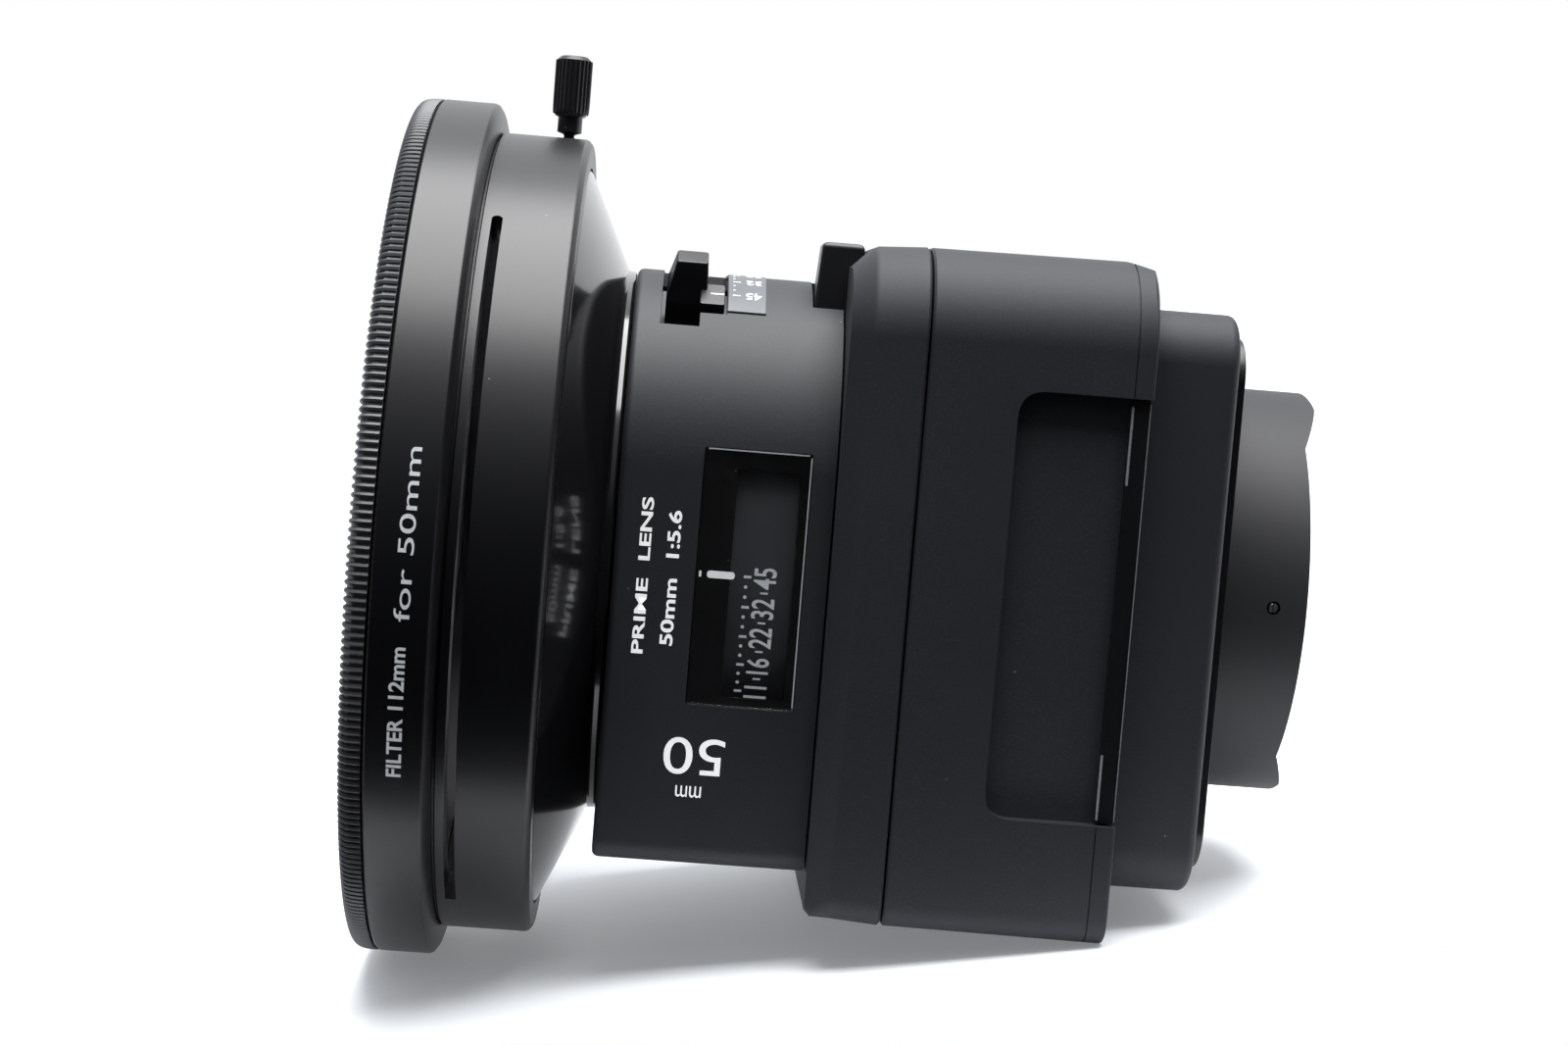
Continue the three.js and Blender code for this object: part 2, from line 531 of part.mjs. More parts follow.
/** The slot that a drive pin needs in a cam ring that turns while the leaf turns. */
function camSlot(index, turnAt, ringAngle, start, end) {
  const steps = 5;
  const path = Array.from({ length: steps + 1 }, (_, i) => {
    const share = i / steps;
    return new THREE.Vector2(...drivePin(turnAt(share))).rotateAround(new THREE.Vector2(), ringAngle * share);
  });
  const half = leaf.drive + 0.3;
  const side = (sign) => path.map((point, i) => {
    const along = path[Math.min(i + 1, steps)].clone().sub(path[Math.max(i - 1, 0)]).normalize();
    return [point.x - sign * half * along.y, point.y + sign * half * along.x];
  });
  const channel = prismX(polygon([...side(1), ...side(-1).reverse()]), start, end);
  const ends = [path[0], path[steps]].map((point) => pinAt(start, end, half, point.x, point.y));
  return joined(channel, ...ends).rotate([(360 * index) / leaf.count, 0, 0]);
}

/** A cam ring with one slot for each leaf. */
function camRing(start, end, inner, outer, turnAt, ringAngle) {
  const slots = Array.from({ length: leaf.count }, (_, i) => camSlot(i, turnAt, ringAngle, start - 1, end + 1));
  return cut(washer(start, end, inner, outer), ...slots);
}

function makeMechanism() {
  const camInner = pivotRadius - 2.5;
  piece("iris_cam_ring", camRing(
    at.cam, discRear, camInner, drumBore - gap, (share) => irisTurn * (1 - share), rad(travel)), bladeSteel);
  piece("shutter_ring", camRing(
    shutterRing, shutterRing + mechanism.disc, camInner, discRadius - gap,
    (share) => shutterLeafTurn * share, -rad(shutterTurn)), bladeSteel);

  const pivots = Array.from({ length: leaf.count }, (_, i) => {
    const angle = (2 * Math.PI * i) / leaf.count;
    return pinAt(base.front - stack, base.rear + stack, leaf.pin,
      pivotRadius * Math.cos(angle), pivotRadius * Math.sin(angle));
  });
  piece("shutter_base_plate", joined(
    washer(base.front, base.rear, irisOpening + 0.3, discRadius), ...pivots), innerMetal);

  for (let i = 0; i < leaf.count; i += 1) {
    piece(`iris_blade_${i + 1}`, leafBlade(i, irisTurn, -1, base.front, at.cam + 0.2), bladeSteel);
    piece(`shutter_blade_${i + 1}`, leafBlade(i, 0, 1, base.rear, shutterRing + mechanism.disc - 0.2), bladeSteel);
  }

  const coverFront = shutterRing + mechanism.disc + gap;
  piece("shutter_cover", washer(coverFront, coverFront + 1, irisOpening + 1, discRadius, coarse), innerMetal);

  const bossRear = at.box + wall;
  const housingInner = discRadius + gap + 0.2;
  const housingOuter = housingInner + mechanism.housing;
  piece("shutter_housing", turned([
    [base.front, housingInner], [base.front, housingOuter], [bossRear + gap, housingOuter],
    [bossRear + gap, drumRadius + 3.6], [bossRear + gap + 1.5, drumRadius + 3.6], [bossRear + gap + 1.5, 24.3],
    [bossRear + gap, 24.3], [bossRear + gap, housingInner],
  ], coarse), innerMetal);
}

// ---------------------------------------------------------------- box behind the barrel

/** The box outline at its own size, or inset for a bevel or an inner wall, with its own inset underneath. */
const boxOutline = (half, inset = 0, below = inset) =>
  roundedSquare(half - inset, Math.max(box.top - inset, 1), Math.max(box.bottom - inset, 1), 5)
    .map(([y, z]) => [y, z < 0 ? z - inset + below : z]);

const seamX = at.box + box.frontLength;
const shellRear = at.rearShell + box.rearLength;

function makeBox() {
  const nose = lofted([
    { x: at.box, outline: boxOutline(boxFront, box.bevel, box.bevelBelow) },
    { x: at.box + box.bevelBelow, outline: boxOutline(boxFront, box.bevel - box.bevelBelow, 0) },
    { x: at.box + box.bevel, outline: boxOutline(boxFront) },
    { x: seamX, outline: boxOutline(boxSeam) },
  ]);
  const noseInside = prismX(polygon(boxOutline(boxFront, wall)), at.box + wall, seamX + 1);
  const noseBore = washer(at.box - 1, at.box + wall + 1, 0, drumRadius + 1, coarse);
  const previewPocket = previewRoom(drumRadius, at.box - 1, previewX + preview.length + 0.4);
  piece("front_shell", cut(nose, noseInside, noseBore, previewPocket), boxPlastic);

  const body = lofted([
    { x: at.rearShell, outline: boxOutline(boxSeam) },
    { x: shellRear - box.edge, outline: boxOutline(boxRear) },
    { x: shellRear, outline: boxOutline(boxRear, box.edge) },
  ]);
  const depth = recess.depth + wall;
  const bodyInside = cut(
    prismX(polygon(boxOutline(boxSeam, wall)), at.rearShell - 1, shellRear - wall),
    block([at.rearShell + recess.start - wall, -boxRear, recess.low - wall],
      [shellRear, -boxRear + depth, recess.high + wall]));
  const back = prismX(polygon(roundedSquare(board.opening, 5, 5, 4)), shellRear - wall - 1, shellRear + 1);
  const recessStart = at.rearShell + recess.start;
  const grip = new THREE.Shape();
  grip.moveTo(shellRear + 1, recess.low);
  grip.lineTo(shellRear + 1, recess.high);
  grip.absarc(recessStart + recess.corner, recess.high - recess.corner, recess.corner, rad(90), rad(180), false);
  grip.absarc(recessStart + recess.corner, recess.low + recess.corner, recess.corner, rad(180), rad(270), false);
  const gripCut = prismY(grip, -boxRear - 1, -boxRear + recess.depth, 4);
  piece("rear_shell", cut(body, bodyInside, back, gripCut), boxPlastic);

  piece("lock_rail", block(
    [shellRear - recess.rail, -boxRear + 0.9, recess.low + gap],
    [shellRear - 0.2, -boxRear + recess.depth - gap, recess.high - gap]), satinMetal);

  piece("circuit_board", block([at.rearShell + 3, 36, -26], [shellRear - wall - 3, 37.6, 26]), boardGreen);
  piece("shutter_motor", pinAt(at.rearShell + 1, at.rearShell + 22, 6.5, 29, -32, 24), plainSteel);
}

// ---------------------------------------------------------------- rear optics and mount

function makeRearOptics() {
  const cellFront = at.box + 1.0;
  const split = at.rearShell + 20;
  const bore = { fourth: 16.0, fifth: 19.0, rear: 24.6 };
  piece("middle_cell", turned([
    [cellFront, bore.fourth - 2], [cellFront, 24.0], [split, 24.0], [split, bore.fifth + gap],
    [split - 9, bore.fifth + gap], [split - 9, bore.fourth - 2], [cellFront + 9, bore.fourth - 2],
    [cellFront + 9, bore.fourth + gap], [cellFront + 1.5, bore.fourth + gap], [cellFront + 1.5, bore.fourth - 2],
  ], coarse), innerMetal);
  piece("fourth_element", opticalElement(bore.fourth, cellFront + 3.2, cellFront + 8.7, 1.2, -1.5, bore.fourth), opticalGlass);
  piece("fifth_element", opticalElement(bore.fifth, split - 6.5, split - 1.5, 1.8, 1.2, bore.fifth - 2), opticalGlass);

  const neck = board.bore - gap;
  const rearEnd = at.tubeRim - 1.4;
  const flangeRear = at.plate + tube.flange;
  const rearGlass = rearEnd - 8.5;
  piece("rear_cell", turned([
    [split + gap, neck - 4], [split + gap, neck], [flangeRear + gap, neck], [flangeRear + gap, tube.radius - tube.wall - gap],
    [rearEnd, tube.radius - tube.wall - gap], [rearEnd, bore.rear + gap], [rearGlass - gap, bore.rear + gap],
    [rearGlass - gap, neck - 4],
  ], coarse), satinMetal);
  piece("rear_element", opticalElement(bore.rear, rearGlass, rearEnd - 2.4, -1.6, -1.2), opticalGlass);
  piece("rear_retaining_ring", turned([
    [rearEnd - 2.0, bore.rear - 1.6], [rearEnd - 2.0, bore.rear], [rearEnd - 0.2, bore.rear], [rearEnd - 0.2, bore.rear - 1.0],
  ], coarse), satinMetal);
}

function makeMount() {
  const boardOutline = (inset) => roundedSquare(board.half - inset, board.corner - inset, board.corner - inset, 5);
  const boardRear = at.board + board.length;
  const outer = lofted([
    { x: at.board, outline: boardOutline(0) },
    { x: boardRear - board.edge, outline: boardOutline(0) },
    { x: boardRear - 0.3 * board.edge, outline: boardOutline(0.3 * board.edge) },
    { x: boardRear, outline: boardOutline(board.edge) },
  ]);
  const inside = prismX(polygon(boardOutline(wall)), at.board - 1, boardRear - wall);
  const bore = washer(boardRear - wall - 1, boardRear + 1, 0, board.bore, coarse);
  piece("rear_board", cut(outer, inside, bore), boxPlastic);

  const plateEnd = at.plate + plate.thickness;
  const corners = [[1, 1], [-1, 1], [-1, -1], [1, -1]].map(([y, z]) => [y * plateScrew.at, z * plateScrew.at]);
  const sheet = prismX(polygon(roundedSquare(plate.half, plate.corner, plate.corner, 5)), at.plate, plateEnd);
  const holes = corners.map(([y, z]) => pinAt(at.plate - 1, plateEnd + 1, plateScrew.head + gap, y, z, 16));
  piece("rear_plate", cut(sheet, washer(at.plate - 1, plateEnd + 1, 0, plateBore, fine), ...holes), satinMetal);
  corners.forEach(([y, z], i) => {
    piece(`rear_screw_${i + 1}`, pinAt(at.plate, plateEnd - 0.1, plateScrew.head, y, z, 16), plainSteel);
  });

  const pipe = turned([
    [at.plate, board.bore], [at.plate, tube.radius], [at.end, tube.radius], [at.end, tube.radius - tube.wall],
    [at.plate + tube.flange, tube.radius - tube.wall], [at.plate + tube.flange, board.bore],
  ], fine);
  const shoulder = tube.radius * Math.sin(rad(tube.hornFrom));
  const full = tube.radius * Math.sin(rad(tube.hornFull));
  const away = at.end + 1;
  const window = polygon([
    [at.tubeRim, -shoulder], [at.end, -full], [away, -full], [away, full], [at.end, full], [at.tubeRim, shoulder]]);
  const setScrew = { x: at.tubeRim - 4.6, radius: 0.65 };
  const screwBore = solid(revolved([[0, 0], [0, setScrew.radius + gap], [5, setScrew.radius + gap], [5, 0]], 12)
    .translate(setScrew.x, -tube.radius - 2, 0));
  piece("rear_tube", cut(pipe, prismY(window, -40, 40), screwBore), satinMetal);
  piece("tube_set_screw", solid(revolved([[0, 0], [0, setScrew.radius], [tube.wall - 0.4, setScrew.radius],
    [tube.wall - 0.4, 0]], 12).translate(setScrew.x, -tube.radius + 0.1, 0)), plainSteel);

  piece("contact_block", block([boardRear + 0.3, -9, -board.half + 0.9], [boardRear + 1.1, 9, -plate.half - gap]), glossBlack);
}

makeFilterHolder();
makeFrontOptics();
makeBarrel();
makeLevers();
makeMechanism();
makeBox();
makeRearOptics();
makeMount();

export default root;
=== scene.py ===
"""Looks of a wide-angle prime lens for a medium-format bellows camera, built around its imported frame.

Lengths are millimetres: stations run along the optical axis from the front of the lens, y and z are measured
from the axis, and the dial window is on the near side, at -y. LensFrame turns them into the frame's metres.
"""
from __future__ import annotations

import json
import logging
import math
from dataclasses import dataclass
from enum import Enum
from typing import Callable, Sequence

import bmesh
import bpy
from mathutils import Matrix, Vector

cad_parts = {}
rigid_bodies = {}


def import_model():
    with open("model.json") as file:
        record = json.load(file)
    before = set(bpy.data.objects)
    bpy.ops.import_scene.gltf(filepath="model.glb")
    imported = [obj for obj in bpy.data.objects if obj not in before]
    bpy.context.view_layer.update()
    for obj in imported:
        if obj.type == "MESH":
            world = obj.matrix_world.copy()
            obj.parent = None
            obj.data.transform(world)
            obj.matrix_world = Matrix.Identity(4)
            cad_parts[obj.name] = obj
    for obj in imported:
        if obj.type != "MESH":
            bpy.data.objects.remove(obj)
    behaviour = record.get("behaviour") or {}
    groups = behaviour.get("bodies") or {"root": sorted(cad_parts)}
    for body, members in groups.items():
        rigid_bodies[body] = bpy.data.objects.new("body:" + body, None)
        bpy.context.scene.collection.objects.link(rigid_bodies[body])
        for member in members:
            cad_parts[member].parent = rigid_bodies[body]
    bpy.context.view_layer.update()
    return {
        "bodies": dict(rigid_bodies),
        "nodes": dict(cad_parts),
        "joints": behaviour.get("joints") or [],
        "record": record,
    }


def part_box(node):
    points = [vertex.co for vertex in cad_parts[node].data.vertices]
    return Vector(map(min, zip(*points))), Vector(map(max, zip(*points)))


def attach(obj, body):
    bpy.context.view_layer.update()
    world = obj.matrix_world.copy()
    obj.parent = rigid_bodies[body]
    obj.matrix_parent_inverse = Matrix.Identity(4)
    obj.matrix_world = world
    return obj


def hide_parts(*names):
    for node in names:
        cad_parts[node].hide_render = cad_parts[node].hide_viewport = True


LOG = logging.getLogger("lens")
MM = 0.001
FULL_TURN = 2 * math.pi

Pair = tuple[float, float]
Color = tuple[float, float, float]
Mesh = bpy.types.Mesh
Material = bpy.types.Material


# ---------------------------------------------------------------- names


class Slot(Enum):
    """The record's material slots."""

    SATIN = "satin_black_metal"
    GLOSS = "gloss_black_metal"
    BARREL = "speckled_black_plastic"
    BOX = "box_plastic"
    WINDOW = "window_gloss"
    PANE = "window_glass"
    OPTICS = "optical_glass"
    DIAL = "dial_grey"
    BLADE = "blade_steel"
    INNER = "inner_metal"
    BRASS = "shoe_brass"
    STEEL = "plain_steel"
    BOARD = "circuit_green"


class Body(Enum):
    """The moving bodies that new pieces ride on."""

    LENS = "lens_body"
    RIM = "filter_rim"
    GLASS = "filter_glass"
    SHOE = "clamp_shoe"
    SCREW = "thumbscrew"
    APERTURE = "aperture_ring"
    PREVIEW = "preview_lever"


# ---------------------------------------------------------------- node trees


def operator(operation: str) -> Callable[[Field, Field | float], Field]:
    """An operator that adds a Math node."""
    return lambda first, second: first.maths(operation, first, second)


class Field:
    """A node's output used in a formula: each operator adds its Math node."""

    def __init__(self, tree: Tree, socket: bpy.types.NodeSocket) -> None:
        """Wraps a socket of the given tree."""
        self.tree = tree
        self.socket = socket

    def maths(self, operation: str, *values: Field | float) -> Field:
        """A Math node over the given values."""
        return self.tree.node("ShaderNodeMath", {"operation": operation}, dict(enumerate(values)))

    __add__ = __radd__ = operator("ADD")
    __sub__ = operator("SUBTRACT")
    __mul__ = __rmul__ = operator("MULTIPLY")
    __gt__ = operator("GREATER_THAN")
    __lt__ = operator("LESS_THAN")

    def between(self, low: float, high: float) -> Field:
        """How far this has come from low to high, as a share from 0 to 1."""
        return self.tree.node(
            "ShaderNodeMapRange", {"clamp": True}, {"Value": self, "From Min": low, "From Max": high})


class Tree:
    """A shader or geometry tree that grows by one method."""

    def __init__(self, nodes: bpy.types.NodeTree) -> None:
        """Wraps an empty tree."""
        self.nodes = nodes

    def node(self, kind: str, settings: dict | None = None, sockets: dict | None = None,
             output: int | str = 0) -> Field:
        """Adds a node.

        Args:
            kind: the node's type.
            settings: its properties, set first.
            sockets: values or links of its inputs, by name or number.
            output: the output that is returned.

        Returns:
            The chosen output.
        """
        made = self.nodes.nodes.new(kind)
        for name, value in (settings or {}).items():
            setattr(made, name, value)
        for key, value in (sockets or {}).items():
            for each in value if isinstance(value, list) else [value]:
                self._plug(made.inputs[key], each)
        return Field(self, made.outputs[output]) if len(made.outputs) else Field(self, made.inputs[0])

    def _plug(self, socket: bpy.types.NodeSocket, value: object) -> None:
        """Links an output to a socket, or sets the socket's own value."""
        if isinstance(value, Field):
            self.nodes.links.new(value.socket, socket)
        else:
            socket.default_value = value

    def mix(self, share: Field | float, first: Field | Color, second: Field | Color) -> Field:
        """A colour between two others."""
        ends = [value if isinstance(value, Field) else (*value, 1.0) for value in (first, second)]
        return self.node("ShaderNodeMix", {"data_type": "RGBA"}, {0: share, 6: ends[0], 7: ends[1]}, output=2)

    def noise(self, place: Field, size: float, detail: float) -> Field:
        """Noise with features of a size in millimetres."""
        return self.node(
            "ShaderNodeTexNoise", {}, {"Vector": place, "Scale": 1 / (size * MM), "Detail": detail})


# ---------------------------------------------------------------- finishes


class Finish:
    """What a surface looks like."""

    def build(self, name: str) -> Material:
        """Makes the material, on the piece's own coordinates."""
        material = bpy.data.materials.new(name)
        material.use_nodes = True
        material.node_tree.nodes.clear()
        tree = Tree(material.node_tree)
        shader = self.shader(tree, tree.node("ShaderNodeTexCoord", output="Object"))
        tree.node("ShaderNodeOutputMaterial", {}, {"Surface": shader})
        return material

    def shader(self, tree: Tree, spot: Field) -> Field:
        """Adds the nodes of the finish."""
        raise NotImplementedError


@dataclass(frozen=True)
class Surface(Finish):
    """A moulded, painted, anodised or bare opaque surface.

    Attributes:
        color: base colour.
        roughness: mean roughness.
        metallic: share of metal.
        coat: weight of a clear lacquer.
        grain: size of the finest texture.
        relief: depth of that texture.
        mottle: how much the colour and the gloss wander.
        flecks: share of the grains that are paler than the rest.
        dust: share of the cells that hold a speck of dust.
        lathe: depth of fine turning lines around the axis.
    """

    color: Color
    roughness: float
    metallic: float = 0.0
    coat: float = 0.0
    grain: float = 0.25
    relief: float = 0.004
    mottle: float = 0.08
    flecks: float = 0.0
    dust: float = 0.012
    lathe: float = 0.0

    def shader(self, tree: Tree, spot: Field) -> Field:
        """Adds the nodes of the finish."""
        fine = tree.noise(spot, self.grain, 2.0)
        broad = tree.noise(spot, 18, 4.0)
        darker, paler = (tuple(c * share for c in self.color) for share in (1 - self.mottle, 1 + self.mottle))
        color = tree.mix(broad.between(0.35, 0.65), darker, paler)
        if self.flecks:
            pale = tuple(c * 2.1 + 0.012 for c in self.color)
            color = tree.mix(fine.between(0.5, 0.5 + 0.5 * (1 - self.flecks)) * 0.8, color, pale)
        color = tree.mix(self._specks(tree, spot) * 0.55, color, (0.32, 0.33, 0.34))
        roughness = (broad - 0.5) * (0.6 * self.mottle) + (fine - 0.5) * self.mottle + self.roughness
        height = fine * self.relief
        if self.lathe:
            height = height + self._turning_lines(tree, spot) * self.lathe
        bump = tree.node("ShaderNodeBump", {}, {"Height": height, "Distance": MM, "Strength": 1.0})
        return tree.node("ShaderNodeBsdfPrincipled", {}, {
            "Base Color": color, "Roughness": roughness, "Metallic": self.metallic,
            "Coat Weight": self.coat, "Coat Roughness": 0.08, "Normal": bump})

    def _specks(self, tree: Tree, spot: Field) -> Field:
        """1 on scattered specks of dust, else 0."""
        cell = {"Vector": spot, "Scale": 1 / (1.6 * MM)}
        distance = tree.node("ShaderNodeTexVoronoi", {"feature": "F1"}, cell)
        chance = tree.node("ShaderNodeTexVoronoi", {"feature": "F1"}, cell, output="Color")
        picked = tree.node("ShaderNodeSeparateColor", {}, {"Color": chance})
        return (picked < self.dust) * (distance < 0.07)

    def _turning_lines(self, tree: Tree, spot: Field) -> Field:
        """Fine rings around the axis."""
        along = tree.node("ShaderNodeSeparateXYZ", {}, {"Vector": spot})
        stretched = tree.node("ShaderNodeCombineXYZ", {}, {"X": along})
        return tree.noise(stretched, 0.12, 3.0)


@dataclass(frozen=True)
class Chipped(Surface):
    """A moulding whose paint is chipped along its top rear edge.

    Attributes:
        edge: station and height of that edge, in the frame's metres.
    """

    edge: Pair = (0.0, 0.0)

    def _specks(self, tree: Tree, spot: Field) -> Field:
        """1 on dust and on the chips, else 0."""
        dust = super()._specks(tree, spot)
        along = tree.node("ShaderNodeSeparateXYZ", {}, {"Vector": spot}, output="X")
        height = tree.node("ShaderNodeSeparateXYZ", {}, {"Vector": spot}, output="Z")
        ragged = tree.noise(spot, 1.5, 3.0)
        near_rear = along.between(self.edge[0] - 4.6 * MM, self.edge[0] - 3.0 * MM)
        near_top = height.between(self.edge[1] - 1.1 * MM, self.edge[1] - 0.3 * MM)
        chips = (ragged * near_rear * near_top) > 0.52
        return dust + chips * 1.6


@dataclass(frozen=True)
class Glass(Finish):
    """Clear or coated glass.

    Attributes:
        tint: colour of the light that passes.
        index: refractive index.
        film: thickness of an anti-reflection film in nanometres, 0 for none.
        gloss: strength of its reflections.
    """

    tint: Color
    index: float = 1.5
    film: float = 0.0
    gloss: float = 0.5

    def shader(self, tree: Tree, spot: Field) -> Field:
        """Adds the nodes of the finish."""
        smear = tree.noise(spot, 9, 5.0)
        return tree.node("ShaderNodeBsdfPrincipled", {}, {
            "Base Color": (*self.tint, 1.0), "Roughness": smear.between(0.6, 0.9) * 0.05, "IOR": self.index,
            "Transmission Weight": 1.0, "Specular IOR Level": self.gloss,
            "Thin Film Thickness": self.film, "Thin Film IOR": 1.38})


@dataclass(frozen=True)
class Ink(Finish):
    """Printed or filled-in paint that gives off a painted glow.

    Attributes:
        color: colour of the paint.
        worn: how much of it has rubbed thin.
        glow: strength of the light that the paint gives off, a painted glow that makes it read brighter than
            plain paint.
    """

    color: Color = (0.90, 0.91, 0.92)
    worn: float = 0.08
    glow: float = 0.45

    def shader(self, tree: Tree, spot: Field) -> Field:
        """Adds the nodes of the finish."""
        rubbed = tree.noise(spot, 0.5, 4.0)
        thin = tuple(c * 0.55 for c in self.color)
        # The emission is a painted glow that lifts the print's brightness.
        return tree.node("ShaderNodeBsdfPrincipled", {}, {
            "Base Color": tree.mix(rubbed.between(0.45, 0.8) * (self.worn * 4), self.color, thin),
            "Roughness": rubbed * 0.2 + 0.5, "Emission Color": (*self.color, 1.0),
            "Emission Strength": self.glow})


@dataclass(frozen=True)
class Table(Finish):
    """The pale table top, with a painted glow of its own that is weaker under the lens and stronger away from
    it.

    Attributes:
        color: its colour.
        near_glow: strength of its painted glow under the lens.
        far_glow: strength of its painted glow away from the lens.
        reach: distances from the lens, in metres, between which the glow grows.
    """

    color: Color = (0.86, 0.88, 0.91)
    near_glow: float = 0.22
    far_glow: float = 0.85
    reach: Pair = (0.11, 0.5)

    def shader(self, tree: Tree, spot: Field) -> Field:
        """Adds the nodes of the finish."""
        uneven = tree.node("ShaderNodeTexNoise", {}, {"Vector": spot, "Scale": 6.0, "Detail": 3.0})
        darker = tuple(c * 0.985 for c in self.color)
        away = tree.node("ShaderNodeVectorMath", {"operation": "LENGTH"}, {0: spot}, output="Value")
        # Emission is a painted glow: dimmer near the lens so that its shadow shows, brighter away so that the
        # table reads white.
        near, far = (tuple(c * glow for c in self.color) for glow in (self.near_glow, self.far_glow))
        return tree.node("ShaderNodeBsdfPrincipled", {}, {
            "Base Color": tree.mix(uneven, darker, self.color), "Roughness": uneven * 0.1 + 0.45,
            "Emission Color": tree.mix(away.between(*self.reach), near, far), "Emission Strength": 1.0})


FINISHES = {
    Slot.SATIN: Surface((0.004, 0.0045, 0.006), 0.36, grain=0.12, relief=0.002, mottle=0.06, lathe=0.0012),
    Slot.GLOSS: Surface(
        (0.006, 0.006, 0.007), 0.16, coat=0.5, grain=0.5, relief=0.0008, mottle=0.04, dust=0.02),
    Slot.BARREL: Surface(
        (0.012, 0.014, 0.018), 0.58, grain=0.16, relief=0.012, mottle=0.1, flecks=0.25, dust=0.02),
    Slot.BOX: Surface(
        (0.0125, 0.0145, 0.0195), 0.66, grain=0.2, relief=0.006, mottle=0.07, flecks=0.06),
    Slot.WINDOW: Surface((0.003, 0.003, 0.004), 0.45, grain=0.6, relief=0.0, mottle=0.03, dust=0.03),
    Slot.PANE: Glass((0.95, 0.96, 0.97), 1.45, gloss=0.25),
    Slot.OPTICS: Glass((0.97, 0.99, 0.98), 1.62, film=135.0),
    Slot.DIAL: Surface(
        (0.11, 0.117, 0.128), 0.5, metallic=0.2, grain=0.2, relief=0.002, mottle=0.08, dust=0.0),
    Slot.BLADE: Surface(
        (0.05, 0.05, 0.055), 0.45, metallic=0.7, grain=0.3, relief=0.001, mottle=0.12, dust=0.0),
    Slot.INNER: Surface(
        (0.022, 0.023, 0.025), 0.5, metallic=0.3, grain=0.2, relief=0.002, lathe=0.003, dust=0.0),
    Slot.BRASS: Surface((0.60, 0.45, 0.22), 0.32, metallic=1.0, grain=0.3, relief=0.002, mottle=0.12),
    Slot.STEEL: Surface((0.42, 0.43, 0.45), 0.34, metallic=1.0, grain=0.2, relief=0.002, mottle=0.10),
    Slot.BOARD: Surface((0.02, 0.11, 0.05), 0.4, coat=0.3, grain=0.4, relief=0.004, mottle=0.12),
}
# Each ink below gives off a little light of its own, a painted glow.
WHITE_INK = Ink()
FRAME_LINE = Ink((0.42, 0.44, 0.47), 0.1, 0.1)
# Grey glowing strips for the lock rail's edges: painted highlights where its edges catch the light.
RAIL_PAINTED_HIGHLIGHT = Ink((0.20, 0.22, 0.24), 0.25, 0.1)
TUBE = Surface((0.013, 0.014, 0.017), 0.6, grain=0.15, relief=0.003, mottle=0.08)
# A grey far paler than the satin finish: painted highlight standing in for the glints on the knurl's ridges.
KNURL_PAINTED_HIGHLIGHT = Surface((0.075, 0.078, 0.085), 0.40, grain=0.2, relief=0.002, mottle=0.1)
GREY_INK = Ink((0.50, 0.52, 0.55), 0.2)
GOLD = Surface((0.80, 0.58, 0.25), 0.25, metallic=1.0, grain=0.3, relief=0.001, mottle=0.06)


# ---------------------------------------------------------------- the frame and its pieces


class LensFrame:
    """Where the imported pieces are, in millimetres from the front of the lens and from its axis."""

    def __init__(self) -> None:
        """Finds the front and the axis from the front rim."""
        low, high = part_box("filter_rim")
        self.origin = Vector((low.x, 0.0, (low.z + high.z) / 2))

    def span(self, node: str) -> Pair:
        """Stations where a node starts and ends."""
        return self.start(node), self.end(node)

    def start(self, node: str) -> float:
        """Station where a node starts."""
        return (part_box(node)[0].x - self.origin.x) / MM

    def end(self, node: str) -> float:
        """Station where a node ends."""
        return (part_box(node)[1].x - self.origin.x) / MM

    def low(self, node: str) -> float:
        """Height of a node's lowest point above the axis."""
        return (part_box(node)[0].z - self.origin.z) / MM

    def high(self, node: str) -> float:
        """Height of a node's highest point above the axis."""
        return (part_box(node)[1].z - self.origin.z) / MM

    def near(self, node: str) -> float:
        """Distance from the axis to a node's nearest side, towards -y."""
        return -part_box(node)[0].y / MM

    def world(self) -> Matrix:
        """Turns millimetres from the front and the axis into the frame's metres."""
        return Matrix.Translation(self.origin) @ Matrix.Scale(MM, 4)


